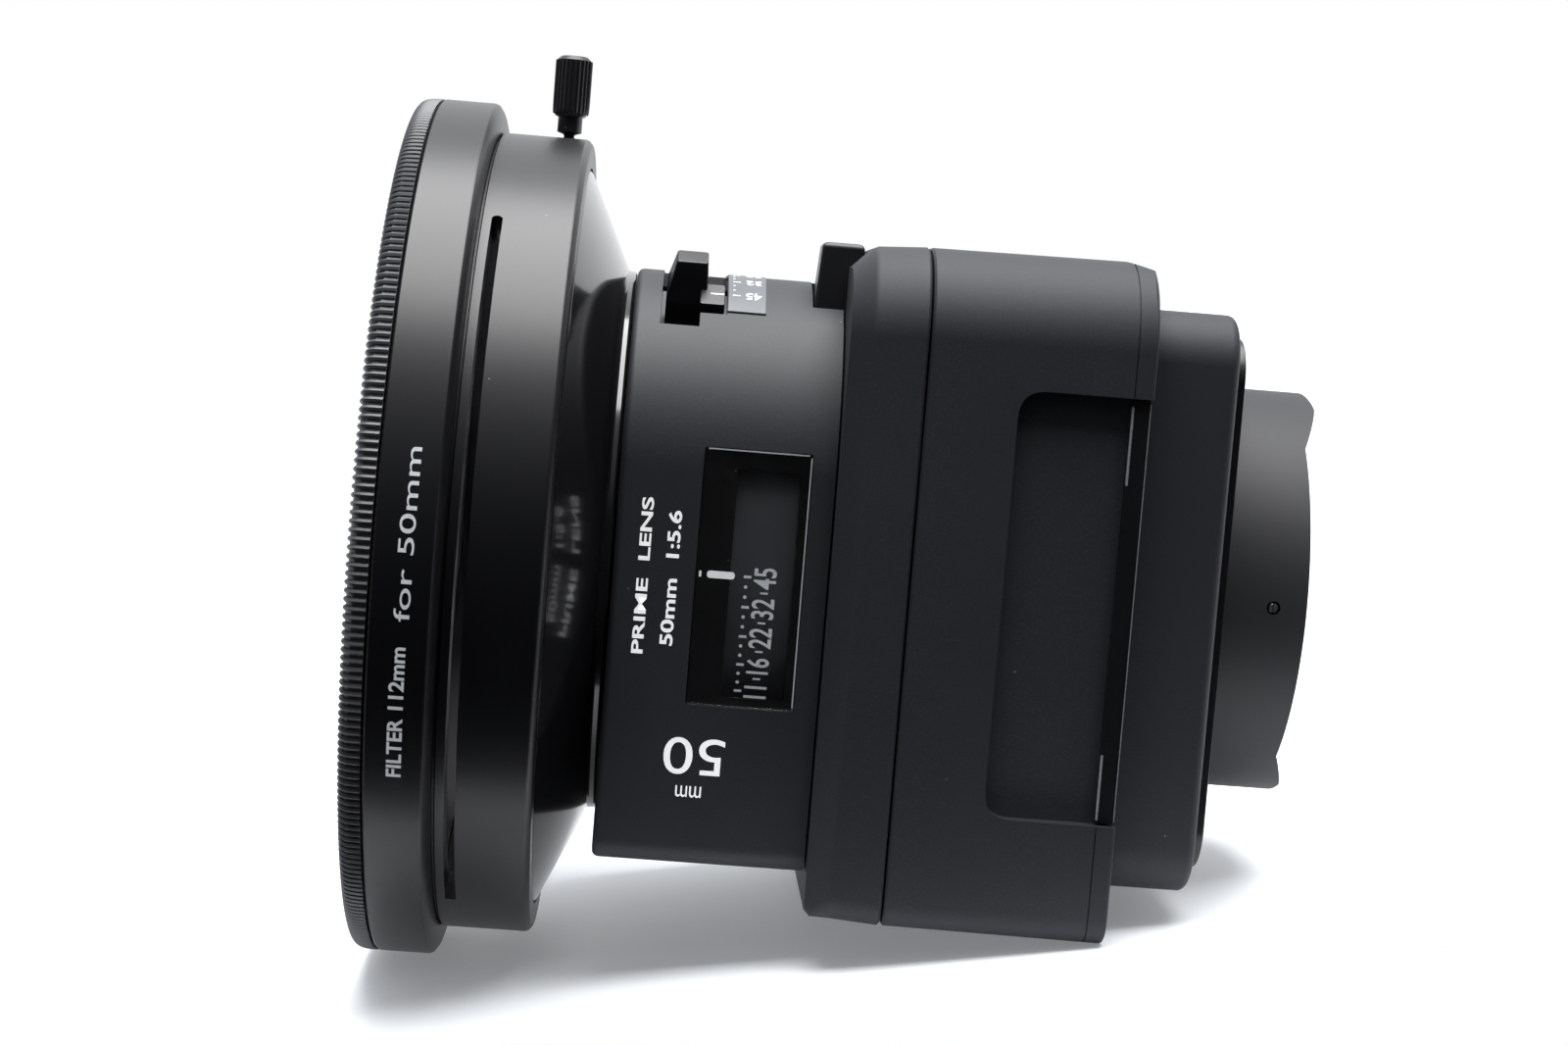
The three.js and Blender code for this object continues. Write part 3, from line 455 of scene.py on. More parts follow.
class Workshop:
    """Finishes pieces: puts them in the frame, dresses them and hands them to their bodies."""

    def __init__(self, frame: LensFrame, finishes: dict[Slot, Surface | Glass]) -> None:
        """Builds one material for each slot."""
        self.frame = frame
        self.materials = {slot: finish.build(slot.value) for slot, finish in finishes.items()}
        self.extra: dict[str, Material] = {}

    def material(self, name: str, finish: Surface | Glass | Ink) -> Material:
        """A finish of its own, made once."""
        if name not in self.extra:
            self.extra[name] = finish.build(name)
        return self.extra[name]

    def piece(self, name: str, mesh: Mesh, slot: Slot, stands_for: Sequence[str] = (),
              material: Material | None = None, crease: float = 32.0, body: Body = Body.LENS) -> None:
        """Finishes one piece.

        Args:
            name: the piece's own name.
            mesh: its shape in millimetres.
            slot: the record's slot it takes its finish from.
            stands_for: the nodes that it replaces.
            material: a finish other than the slot's.
            crease: edges sharper than this many degrees stay sharp.
            body: the body it rides on.
        """
        mesh.transform(self.frame.world())
        mesh.shade_smooth()
        mesh.set_sharp_from_angle(angle=math.radians(crease))
        mesh = modified(mesh, "WEIGHTED_NORMAL", {"keep_sharp": True, "weight": 50})
        mesh.materials.clear()
        mesh.materials.append(material or self.materials[slot])
        made = placed(name, mesh)
        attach(made, body.value)
        if stands_for:
            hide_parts(*stands_for)
        LOG.info("%s: %d faces on %s", name, len(mesh.polygons), body.value)

    def dress(self, nodes: dict[str, bpy.types.Object], record: dict) -> None:
        """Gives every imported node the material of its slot."""
        for subpart in record["subparts"]:
            node = nodes[subpart["node"]]
            node.data.materials.clear()
            node.data.materials.append(self.materials[Slot(subpart["material_slot"])])


# ---------------------------------------------------------------- meshes


def moved(x: float = 0.0, y: float = 0.0, z: float = 0.0) -> Matrix:
    """A shift."""
    return Matrix.Translation((x, y, z))


def meshed(vertices: Sequence[Sequence[float]], faces: Sequence[Sequence[int]]) -> Mesh:
    """A closed mesh with its doubles merged and its faces pointing out."""
    mesh = bpy.data.meshes.new("shape")
    mesh.from_pydata([tuple(v) for v in vertices], [], [tuple(f) for f in faces])
    work = bmesh.new()
    work.from_mesh(mesh)
    bmesh.ops.remove_doubles(work, verts=work.verts, dist=1e-5)
    bmesh.ops.recalc_face_normals(work, faces=work.faces)
    work.to_mesh(mesh)
    work.free()
    return mesh


def rounded(corners: Sequence[Sequence[float]], steps: int = 5) -> list[Pair]:
    """A closed outline whose (u, v, radius) corners are turned into curves.

    Args:
        corners: points, each with a radius if it is rounded.
        steps: stretches in each curve.

    Returns:
        The outline's points.
    """
    points: list[Pair] = []
    for i, corner in enumerate(corners):
        here = Vector(corner[:2])
        if len(corner) < 3:
            points.append((here.x, here.y))
            continue
        before = Vector(corners[i - 1][:2]) - here
        after = Vector(corners[(i + 1) % len(corners)][:2]) - here
        reach = min(corner[2] / math.tan(before.angle(after) / 2), 0.49 * before.length, 0.49 * after.length)
        first = here + before.normalized() * reach
        last = here + after.normalized() * reach
        for k in range(steps + 1):
            t = k / steps
            point = (1 - t) ** 2 * first + 2 * t * (1 - t) * here + t * t * last
            points.append((point.x, point.y))
    return points


def rectangle(u: Pair, v: Pair, radius: float = 0.0, steps: int = 3) -> list[Pair]:
    """The outline of a rectangle, with rounded corners where a radius is given."""
    corners = [(u[0], v[0]), (u[1], v[0]), (u[1], v[1]), (u[0], v[1])]
    return rounded([(*corner, radius) for corner in corners], steps) if radius else corners


def turned(profile: Sequence[Pair], segments: int = 160) -> Mesh:
    """A closed profile of (station, radius) points turned about the optical axis."""
    vertices: list[tuple[float, float, float]] = []
    rings: list[list[int]] = []
    for station, radius in profile:
        count = segments if radius > 1e-6 else 1
        first = len(vertices)
        for i in range(count):
            angle = FULL_TURN * i / segments
            vertices.append((station, radius * math.cos(angle), radius * math.sin(angle)))
        rings.append([first + i % count for i in range(segments)])
    faces = []
    for this, following in zip(rings, rings[1:] + rings[:1]):
        for i in range(segments):
            j = (i + 1) % segments
            corners = list(dict.fromkeys([this[i], this[j], following[j], following[i]]))
            if len(corners) > 2:
                faces.append(corners)
    return meshed(vertices, faces)


def rod(start: float, end: float, radius: float, segments: int) -> Mesh:
    """A round bar on the axis."""
    return turned([(start, 0.0), (start, radius), (end, radius), (end, 0.0)], segments)


def lofted(sections: Sequence[tuple[float, Sequence[Pair]]]) -> Mesh:
    """A skin through equal (y, z) outlines at given stations, closed by flat ends."""
    count = len(sections[0][1])
    vertices = [(station, y, z) for station, outline in sections for y, z in outline]
    faces: list[list[int]] = []
    for s in range(len(sections) - 1):
        for i in range(count):
            j = (i + 1) % count
            faces.append([s * count + i, s * count + j, (s + 1) * count + j, (s + 1) * count + i])
    last = (len(sections) - 1) * count
    faces += [list(range(count))[::-1], list(range(last, last + count))]
    return meshed(vertices, faces)


def prism(outline: Sequence[Pair], start: float, end: float) -> Mesh:
    """A (y, z) outline carried along the axis."""
    return lofted([(start, outline), (end, outline)])


def side_prism(outline: Sequence[Pair], near: float, far: float) -> Mesh:
    """A (station, z) outline carried along y."""
    mesh = lofted([(near, outline), (far, outline)])
    mesh.transform(Matrix(((0, 1, 0, 0), (1, 0, 0, 0), (0, 0, 1, 0), (0, 0, 0, 1))))
    mesh.flip_normals()
    return mesh


def sector(inner: float, outer: float, start_angle: float, end_angle: float, start: float, end: float,
           steps: int = 48) -> Mesh:
    """Part of a ring between two angles, in degrees above the near side."""
    angles = [math.radians(start_angle + (end_angle - start_angle) * i / steps) for i in range(steps + 1)]
    around = [(-outer * math.cos(a), outer * math.sin(a)) for a in angles]
    back = [(-inner * math.cos(a), inner * math.sin(a)) for a in reversed(angles)]
    return prism(around + back, start, end)


def block(low: Sequence[float], high: Sequence[float]) -> Mesh:
    """A block between two opposite corners, used for cutting."""
    return prism(rectangle((low[1], high[1]), (low[2], high[2])), low[0], high[0])


def placed(name: str, data: bpy.types.ID) -> bpy.types.Object:
    """A new object in the scene."""
    made = bpy.data.objects.new(name, data)
    bpy.context.scene.collection.objects.link(made)
    return made


def baked(holder: bpy.types.Object) -> Mesh:
    """The plain mesh that an object comes to; the object goes."""
    graph = bpy.context.evaluated_depsgraph_get()
    result = bpy.data.meshes.new_from_object(holder.evaluated_get(graph))
    bpy.data.objects.remove(holder)
    return result


def modified(mesh: Mesh, kind: str, settings: dict[str, object],
             inputs: dict[str, object] | None = None) -> Mesh:
    """Changes a mesh by one modifier.

    Args:
        mesh: the mesh.
        kind: the modifier's type.
        settings: its properties.
        inputs: values of a geometry tree's inputs, by identifier.

    Returns:
        The plain mesh.
    """
    holder = placed("holder", mesh)
    modifier = holder.modifiers.new("change", kind)
    for name, value in settings.items():
        setattr(modifier, name, value)
    for name, value in (inputs or {}).items():
        modifier[name] = value
    return baked(holder)


def combined(body: Mesh, tools: Sequence[Mesh], operation: str = "DIFFERENCE") -> Mesh:
    """Cuts tools from a body, or keeps what they share with it."""
    for tool in tools:
        cutter = placed("cutter", tool)
        body = modified(body, "BOOLEAN", {"operation": operation, "solver": "EXACT", "object": cutter})
        bpy.data.objects.remove(cutter)
    return body


def softened(mesh: Mesh, width: float, steps: int = 2, sharper_than: float = 40.0) -> Mesh:
    """Rounds the edges that are sharper than an angle in degrees."""
    return modified(mesh, "BEVEL", {
        "width": width, "segments": steps, "limit_method": "ANGLE", "angle_limit": math.radians(sharper_than),
        "use_clamp_overlap": True})


def together(*meshes: Mesh) -> Mesh:
    """Separate shapes in one mesh."""
    work = bmesh.new()
    for mesh in meshes:
        work.from_mesh(mesh)
    result = bpy.data.meshes.new("shape")
    work.to_mesh(result)
    work.free()
    return result


def quarter_round(edge: float, steps: int) -> list[Pair]:
    """How far back and how far in the points of a rounded edge lie, from its side to its face."""
    angles = [math.radians(90 * i / steps) for i in range(steps + 1)]
    return [(edge * (1 - math.sin(a)), edge * (1 - math.cos(a))) for a in angles]


def rounded_square(half: float, top: float, bottom: float, steps: int = 24) -> list[Pair]:
    """A square (y, z) outline with its own top and bottom corner radii."""
    corners = [(1, 1, top, 0), (-1, 1, top, 90), (-1, -1, bottom, 180), (1, -1, bottom, 270)]
    points = []
    for y, z, radius, begin in corners:
        for i in range(steps + 1):
            angle = math.radians(begin + 90 * i / steps)
            reach = half - radius
            points.append((y * reach + radius * math.cos(angle), z * reach + radius * math.sin(angle)))
    return points


# ---------------------------------------------------------------- geometry patterns


class Pattern:
    """A geometry tree that repeats a shape, with named inputs."""

    sockets: dict[str, str] = {}

    def __init__(self) -> None:
        """Builds the tree."""
        self.group = bpy.data.node_groups.new(type(self).__name__, "GeometryNodeTree")
        self.group.interface.new_socket(name="Geometry", in_out="INPUT", socket_type="NodeSocketGeometry")
        for name, kind in self.sockets.items():
            self.group.interface.new_socket(name=name, in_out="INPUT", socket_type=f"NodeSocket{kind}")
        self.group.interface.new_socket(name="Geometry", in_out="OUTPUT", socket_type="NodeSocketGeometry")
        tree = Tree(self.group)
        entry = tree.node("NodeGroupInput").socket.node
        given = {name: Field(tree, entry.outputs[name]) for name in ["Geometry", *self.sockets]}
        repeated = tree.node("GeometryNodeRealizeInstances", {}, {"Geometry": self.instances(tree, given)})
        joined = tree.node("GeometryNodeJoinGeometry", {}, {"Geometry": [given["Geometry"], repeated]})
        dressed = tree.node(
            "GeometryNodeSetMaterial", {}, {"Geometry": joined, "Material": given["Material"]})
        tree.node("NodeGroupOutput", {}, {"Geometry": dressed})

    def instances(self, tree: Tree, given: dict[str, Field]) -> Field:
        """The repeated shapes."""
        raise NotImplementedError

    def grow(self, base: Mesh, **values: object) -> Mesh:
        """The base with its pattern, as a plain mesh.

        Args:
            base: the mesh that the pattern joins.
            values: the tree's inputs, with spaces written as underscores.

        Returns:
            The mesh.
        """
        inputs = {
            item.identifier: values[item.name.replace(" ", "_")] for item in self.group.interface.items_tree
            if item.in_out == "INPUT" and item.name.replace(" ", "_") in values}
        return modified(base, "NODES", {"node_group": self.group}, inputs)

    @staticmethod
    def around_axis(tree: Tree, shape: Field, count: Field, first: Field | float,
        step: Field | float) -> Field:
        """Copies of a shape turned about the optical axis, by angles in radians."""
        points = tree.node("GeometryNodePoints", {}, {"Count": count})
        angle = tree.node("GeometryNodeInputIndex") * step + first
        euler = tree.node("ShaderNodeCombineXYZ", {}, {"X": angle})
        turn = tree.node("FunctionNodeEulerToRotation", {}, {"Euler": euler})
        return tree.node(
            "GeometryNodeInstanceOnPoints", {}, {"Points": points, "Instance": shape, "Rotation": turn})


class Knurl(Pattern):
    """Straight ridges around a turned core, rounded over its front edge."""

    sockets = {"Count": "Int", "Front": "Float", "Rear": "Float", "Radius": "Float", "Lead": "Float",
               "Ridge": "Float", "Material": "Material"}

    def instances(self, tree: Tree, given: dict[str, Field]) -> Field:
        """The ridges."""
        crest = given["Radius"] - given["Ridge"]

        def point(station: Field, height: Field) -> Field:
            """A point above the axis."""
            return tree.node("ShaderNodeCombineXYZ", {}, {"X": station, "Z": height})

        path = tree.node("GeometryNodeCurvePrimitiveBezierSegment", {}, {
            "Resolution": 8, "Start": point(given["Front"], crest - given["Lead"]),
            "Start Handle": point(given["Front"], crest - given["Lead"] * 0.1),
            "End Handle": point(given["Front"] + given["Lead"] * 0.6, crest),
            "End": point(given["Rear"], crest)})
        section = tree.node("GeometryNodeCurvePrimitiveCircle", {}, {"Resolution": 6,
            "Radius": given["Ridge"]})
        ridge = tree.node("GeometryNodeCurveToMesh", {}, {
            "Curve": path, "Profile Curve": section, "Fill Caps": True})
        turn = given["Count"].maths("DIVIDE", FULL_TURN, given["Count"])
        return self.around_axis(tree, ridge, given["Count"], 0.0, turn)


class DialMarks(Pattern):
    """Bars or dots at equal steps around a drum, on its near side."""

    sockets = {"Count": "Int", "First": "Float", "Step": "Float", "Radius": "Float", "Station": "Float",
               "Length": "Float", "Width": "Float", "Thickness": "Float", "Round": "Bool",
               "Material": "Material"}

    def instances(self, tree: Tree, given: dict[str, Field]) -> Field:
        """The marks."""
        size = tree.node("ShaderNodeCombineXYZ", {}, {
            "X": given["Length"], "Y": given["Thickness"], "Z": given["Width"]})
        bar = tree.node("GeometryNodeMeshCube", {}, {"Size": size})
        dot = tree.node("GeometryNodeMeshCylinder", {}, {
            "Vertices": 16, "Radius": given["Width"] * 0.5, "Depth": given["Thickness"]})
        facing = tree.node("GeometryNodeTransform", {}, {"Geometry": dot, "Rotation": (math.pi / 2, 0.0,
            0.0)})
        mark = tree.node("GeometryNodeSwitch", {"input_type": "GEOMETRY"}, {
            "Switch": given["Round"], "False": bar, "True": facing})
        place = tree.node("ShaderNodeCombineXYZ", {}, {"X": given["Station"], "Y": given["Radius"] * -1.0})
        placed = tree.node("GeometryNodeTransform", {}, {"Geometry": mark, "Translation": place})
        return self.around_axis(tree, placed, given["Count"], given["First"] * -1.0, given["Step"] * -1.0)


class CornerFasteners(Pattern):
    """A fastener at each corner of a square across the axis."""

    sockets = {"Pitch": "Float", "Fastener": "Object", "Material": "Material"}

    def instances(self, tree: Tree, given: dict[str, Field]) -> Field:
        """The fasteners."""
        grid = tree.node("GeometryNodeMeshGrid", {}, {
            "Size X": given["Pitch"], "Size Y": given["Pitch"], "Vertices X": 2, "Vertices Y": 2})
        across = tree.node("GeometryNodeTransform", {}, {"Geometry": grid, "Rotation": (0.0, math.pi / 2,
            0.0)})
        info = tree.node("GeometryNodeObjectInfo", {}, {"Object": given["Fastener"]}, output="Geometry")
        return tree.node("GeometryNodeInstanceOnPoints", {}, {"Points": across, "Instance": info})


class PadRow(Pattern):
    """A row of contact pads."""

    sockets = {"Count": "Int", "Start": "Vector", "Pitch": "Vector", "Pad": "Vector", "Material": "Material"}

    def instances(self, tree: Tree, given: dict[str, Field]) -> Field:
        """The pads."""
        line = tree.node("GeometryNodeMeshLine", {}, {
            "Count": given["Count"], "Start Location": given["Start"], "Offset": given["Pitch"]})
        pad = tree.node("GeometryNodeMeshCube", {}, {"Size": given["Pad"]})
        return tree.node("GeometryNodeInstanceOnPoints", {}, {"Points": line, "Instance": pad})


def empty_mesh() -> Mesh:
    """A mesh with nothing in it, for a pattern that stands alone."""
    return bpy.data.meshes.new("shape")


# ---------------------------------------------------------------- lettering


@dataclass(frozen=True)
class Lettering:
    """Words or figures in raised paint.

    Attributes:
        text: what it says.
        height: height of a capital or a figure.
        length: length of the whole line, or 0 for its natural length.
        bold: how far each stroke is swollen, as a share of the height.
        thickness: thickness of the paint, half of it below the surface.
        squeeze: width of the letters as a share of their natural width, where no length is given.
    """

    text: str
    height: float
    length: float = 0.0
    bold: float = 0.0
    thickness: float = 0.08
    squeeze: float = 1.0

    def mesh(self) -> Mesh:
        """The letters about the middle of the line: u to the right, v up, w out of the page."""
        curve = bpy.data.curves.new("letters", "FONT")
        curve.body = self.text
        curve.size = 1.0
        curve.offset = self.bold
        curve.extrude = 0.5
        curve.resolution_u = 6
        mesh = baked(placed("letters", curve))
        across = [v.co.x for v in mesh.vertices]
        tall = [v.co.y for v in mesh.vertices]
        rise = self.height / (max(tall) - min(tall))
        run = self.length / (max(across) - min(across)) if self.length else rise * self.squeeze
        mesh.transform(Matrix.Diagonal((run, rise, self.thickness, 1.0)) @ Matrix.Translation(
            (-(max(across) + min(across)) / 2, -(max(tall) + min(tall)) / 2, 0.0)))
        return mesh


def flat_on_near(mesh: Mesh, right: Vector, station: float, height: float, near: float) -> Mesh:
    """Lays lettering on the near side.

    Args:
        mesh: the letters.
        right: the direction that they read in.
        station: where their middle is along the axis.
        height: where their middle is above the axis.
        near: distance of the surface from the axis.

    Returns:
        The same mesh.
    """
    out = Vector((0.0, -1.0, 0.0))
    up = out.cross(right)
    turn = Matrix((right, up, out)).transposed().to_4x4()
    mesh.transform(moved(station, -near, height) @ turn)
    return mesh


def wrapped_on_near(mesh: Mesh, radius: float, station: float, arc: float) -> Mesh:
    """Bends lettering that reads upwards round a cylinder.

    Args:
        mesh: the letters.
        radius: radius of the surface.
        station: where their middle is along the axis.
        arc: length of arc from the near side up to their middle.

    Returns:
        The same mesh, with its long faces split first.
    """
    work = bmesh.new()
    work.from_mesh(mesh)
    reach = max(abs(v.co.x) for v in work.verts)
    cut = -reach
    while cut < reach:
        bmesh.ops.bisect_plane(
            work, geom=[*work.verts, *work.edges, *work.faces], plane_co=(cut, 0, 0), plane_no=(1, 0, 0))
        cut += 0.8
    for vertex in work.verts:
        angle = (arc + vertex.co.x) / radius
        out = radius + vertex.co.z
        vertex.co = Vector((station - vertex.co.y, -out * math.cos(angle), out * math.sin(angle)))
    work.to_mesh(mesh)
    work.free()
    return mesh


UPWARDS = Vector((0.0, 0.0, 1.0))
BACKWARDS = Vector((-1.0, 0.0, 0.0))


# ---------------------------------------------------------------- filter holder


@dataclass
class Assembly:
    """A group of pieces that the workshop finishes."""

    shop: Workshop

    def __post_init__(self) -> None:
        """Brings what the workshop offers nearer to hand."""
        self.piece, self.material, self.frame = self.shop.piece, self.shop.material, self.shop.frame


@dataclass
class FilterHolder(Assembly):
    """Knurled filter rim, plain band, slotted clamp ring and its screw."""

    radius: float = 61.0
    lip: float = 6.8
    edge: float = 1.3
    ridge: float = 0.36
    ridges: int = 350
    glass: float = 56.0
    clamp: float = 57.0
    clamp_wall: float = 4.0
    screw_at: float = 20.5
    slit: Pair = (12.9, 14.35)
    slit_angles: Pair = (-56.4, 50.0)
    segments: int = 224

    def build(self) -> None:
        """Makes every piece of the holder."""
        self._rim()
        self._glass()
        self._band()
        self._clamp_ring()
        self._thumbscrew()
        self._shoe()
        self._lettering()

    def _rim(self) -> None:
        """The ring that holds the glass, knurled all round."""
        end = 2.7
        inner = self.radius - self.lip
        skirt = self.glass + 1.7
        core = self.radius - 1.15 * self.ridge
        threads = [(0.9 + 0.22 * i, inner + 0.16 * (i % 2)) for i in range(8)]
        profile = [
            (0.0, inner + 0.8), (0.0, core - 1.45), (0.12, core - 1.25), (0.38, core - 0.55),
            (0.95, core - 0.05),
            (end, core), (end, skirt), (5.2, skirt), (5.2, self.glass + 0.3), (2.7, self.glass + 0.3),
            (2.7, inner + 0.1), *reversed(threads), (0.35, inner + 0.35)]
        ring = Knurl().grow(
            turned(profile, self.segments), Count=self.ridges, Front=0.02, Rear=end - 0.02,
            Radius=self.radius,
            Lead=self.edge, Ridge=self.ridge, Material=self.shop.materials[Slot.SATIN])
        # The rim takes a paler grey than its satin slot, a painted highlight for the glints on its ridges.
        worn = self.material("knurl_worn", KNURL_PAINTED_HIGHLIGHT)
        self.piece("rim_knurled", ring, Slot.SATIN, ["filter_rim"], worn, body=Body.RIM)

    def _glass(self) -> None:
        """The filter glass, with its edges eased."""
        front, rear = self.frame.span("filter_glass")
        profile = [
            (front, 0.0), (front, self.glass - 0.5), (front + 0.3, self.glass), (rear - 0.3, self.glass),
            (rear, self.glass - 0.5), (rear, 0.0)]
        self.piece("filter_disc", turned(profile, 128), Slot.PANE, ["filter_glass"], body=Body.GLASS)

    def _band(self) -> None:
        """The plain band behind the rim."""
        front, rear = self.frame.start("holder_front_ring"), 11.3
        under = self.glass + 2.0
        profile = [
            (front, under), (front, self.radius - 0.25), (front + 0.25, self.radius),
            (rear - 1.25, self.radius),
            (rear - 0.85, self.radius - 0.18), (rear - 0.4, self.radius - 0.85), (rear, self.radius - 2.3),
            (rear, self.clamp - 0.3), (9.3, self.clamp - 0.3), (9.3, self.glass - 2.5), (5.5,
            self.glass - 2.5),
            (5.5, under)]
        self.piece("band", turned(profile, self.segments), Slot.SATIN, ["holder_front_ring"], crease=26.0)

    def _clamp_ring(self) -> None:
        """The ring that grips the lens, with its slot, screw hole and shoe pocket."""
        inner, outer, rear = self.clamp - self.clamp_wall, self.clamp, 24.2
        profile = [
            (9.6, inner), (9.6, outer - 0.6), (11.6, outer - 0.6), (11.6, outer - 0.15), (11.75, outer),
            (rear - 1.0, outer), (rear - 0.55, outer - 0.2), (rear - 0.12, outer - 0.7), (rear, outer - 1.0),
            (rear, inner)]
        ring = turned(profile, self.segments)
        start, end = self.slit
        slot = sector(inner - 1, outer + 1, *self.slit_angles, start, end, steps=64)
        upper = math.radians(self.slit_angles[1])
        round_end = self._upright_pin((end - start) / 2, inner - 1, outer + 1)
        round_end.transform(moved((start + end) / 2) @ Matrix.Rotation(math.pi / 2 - upper, 4, "X"))
        pocket = block((self.screw_at - 3.3, -3.3, inner - 3), (self.screw_at + 3.3, 3.3, 55.7))
        hole = self._upright_pin(1.15, inner, outer + 1)
        hole.transform(moved(self.screw_at))
        ring = combined(ring, [slot, round_end, pocket, hole])
        self.piece("clamp_ring", ring, Slot.SATIN, ["holder_clamp_ring"], crease=26.0)

    @staticmethod
    def _upright_pin(radius: float, low: float, high: float) -> Mesh:
        """A pin standing on the axis."""
        mesh = rod(low, high, radius, 32)
        mesh.transform(Matrix.Rotation(-math.pi / 2, 4, "Y"))
        return mesh

    def _thumbscrew(self) -> None:
        """The screw with its knurled head, made lying down and then stood up."""
        foot, collar, head, top = 54.2, 57.6, 60.2, 68.7
        shank, neck, grip = 0.85, 1.75, 2.65
        thread = [(foot + 0.1 + 0.2 * i, shank - 0.14 * (i % 2)) for i in range(16)]
        core = grip - 0.16
        profile = [
            (foot, 0.0), (foot, shank - 0.15), *thread, (collar, shank), (collar + 0.3, neck), (60.0, neck),
            (head, grip - 0.5), (head + 0.45, core), (top - 0.55, core), (top - 0.12, grip - 0.62),
            (top, grip - 0.8), (top, 1.1), (top - 0.15, 0.95), (top - 0.15, 0.0)]
        screw = Knurl().grow(
            turned(profile, 72), Count=26, Front=head + 0.42, Rear=top - 0.62, Radius=grip, Lead=0.14,
            Ridge=0.2, Material=self.shop.materials[Slot.SATIN])
        screw.transform(moved(self.screw_at) @ Matrix.Rotation(-math.pi / 2, 4, "Y"))
        self.piece("screw_knurled", screw, Slot.SATIN, ["thumbscrew"], body=Body.SCREW)

    def _shoe(self) -> None:
        """The brass shoe under the screw."""
        low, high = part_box("clamp_shoe")
        size = [(high[i] - low[i]) / MM for i in range(3)]
        start = self.frame.start("clamp_shoe")
        bottom = self.frame.low("clamp_shoe")
        shoe = block((start, -size[1] / 2, bottom), (start + size[0], size[1] / 2, bottom + size[2]))
        self.piece("shoe", softened(shoe, 0.15), Slot.BRASS, ["clamp_shoe"], body=Body.SHOE)

    def _lettering(self) -> None:
        """Plain generic words on the band."""
        ink = self.material("worn_grey_ink", GREY_INK)
        lines = {
            "band_focal_length": (Lettering("for 50mm", 2.0, 21.6, 0.002), 7.1, 3.8),
            "band_size": (Lettering("FILTER 112mm", 1.9, 18.0, 0.02), 6.9, -19.3),
        }
        for name, (words, station, arc) in lines.items():
            mesh = wrapped_on_near(words.mesh(), self.radius, station, arc)
            self.piece(name, mesh, Slot.SATIN, material=ink)


# ---------------------------------------------------------------- optics


@dataclass(frozen=True)
class Element:
    """One glass element: its node, radius, faces, their bulges and how far out the rear face reaches."""

    node: str
    radius: float
    front: float
    front_bulge: float
    rear: float
    rear_bulge: float
    rear_radius: float

    def profile(self, rings: int = 14) -> list[Pair]:
        """The outline from the front of the axis, round the edge and back to it."""
        face = self._face(self.front, self.front_bulge, self.radius, rings)
        back = self._face(self.rear, self.rear_bulge, self.rear_radius, rings)
        step = [(self.rear, self.radius)] if self.rear_radius < self.radius else []
        return [*face, *step, *reversed(back)]

    @staticmethod
    def _face(edge: float, bulge: float, reach: float, rings: int) -> list[Pair]:
        """A spherical face whose middle stands before its edge by the bulge."""
        curve = (reach * reach + bulge * bulge) / (2 * abs(bulge))
        points = []
        for i in range(rings + 1):
            height = reach * i / rings
            sag = curve - math.sqrt(curve * curve - height * height)
            points.append((edge - math.copysign(abs(bulge) - sag, bulge), height))
        return points


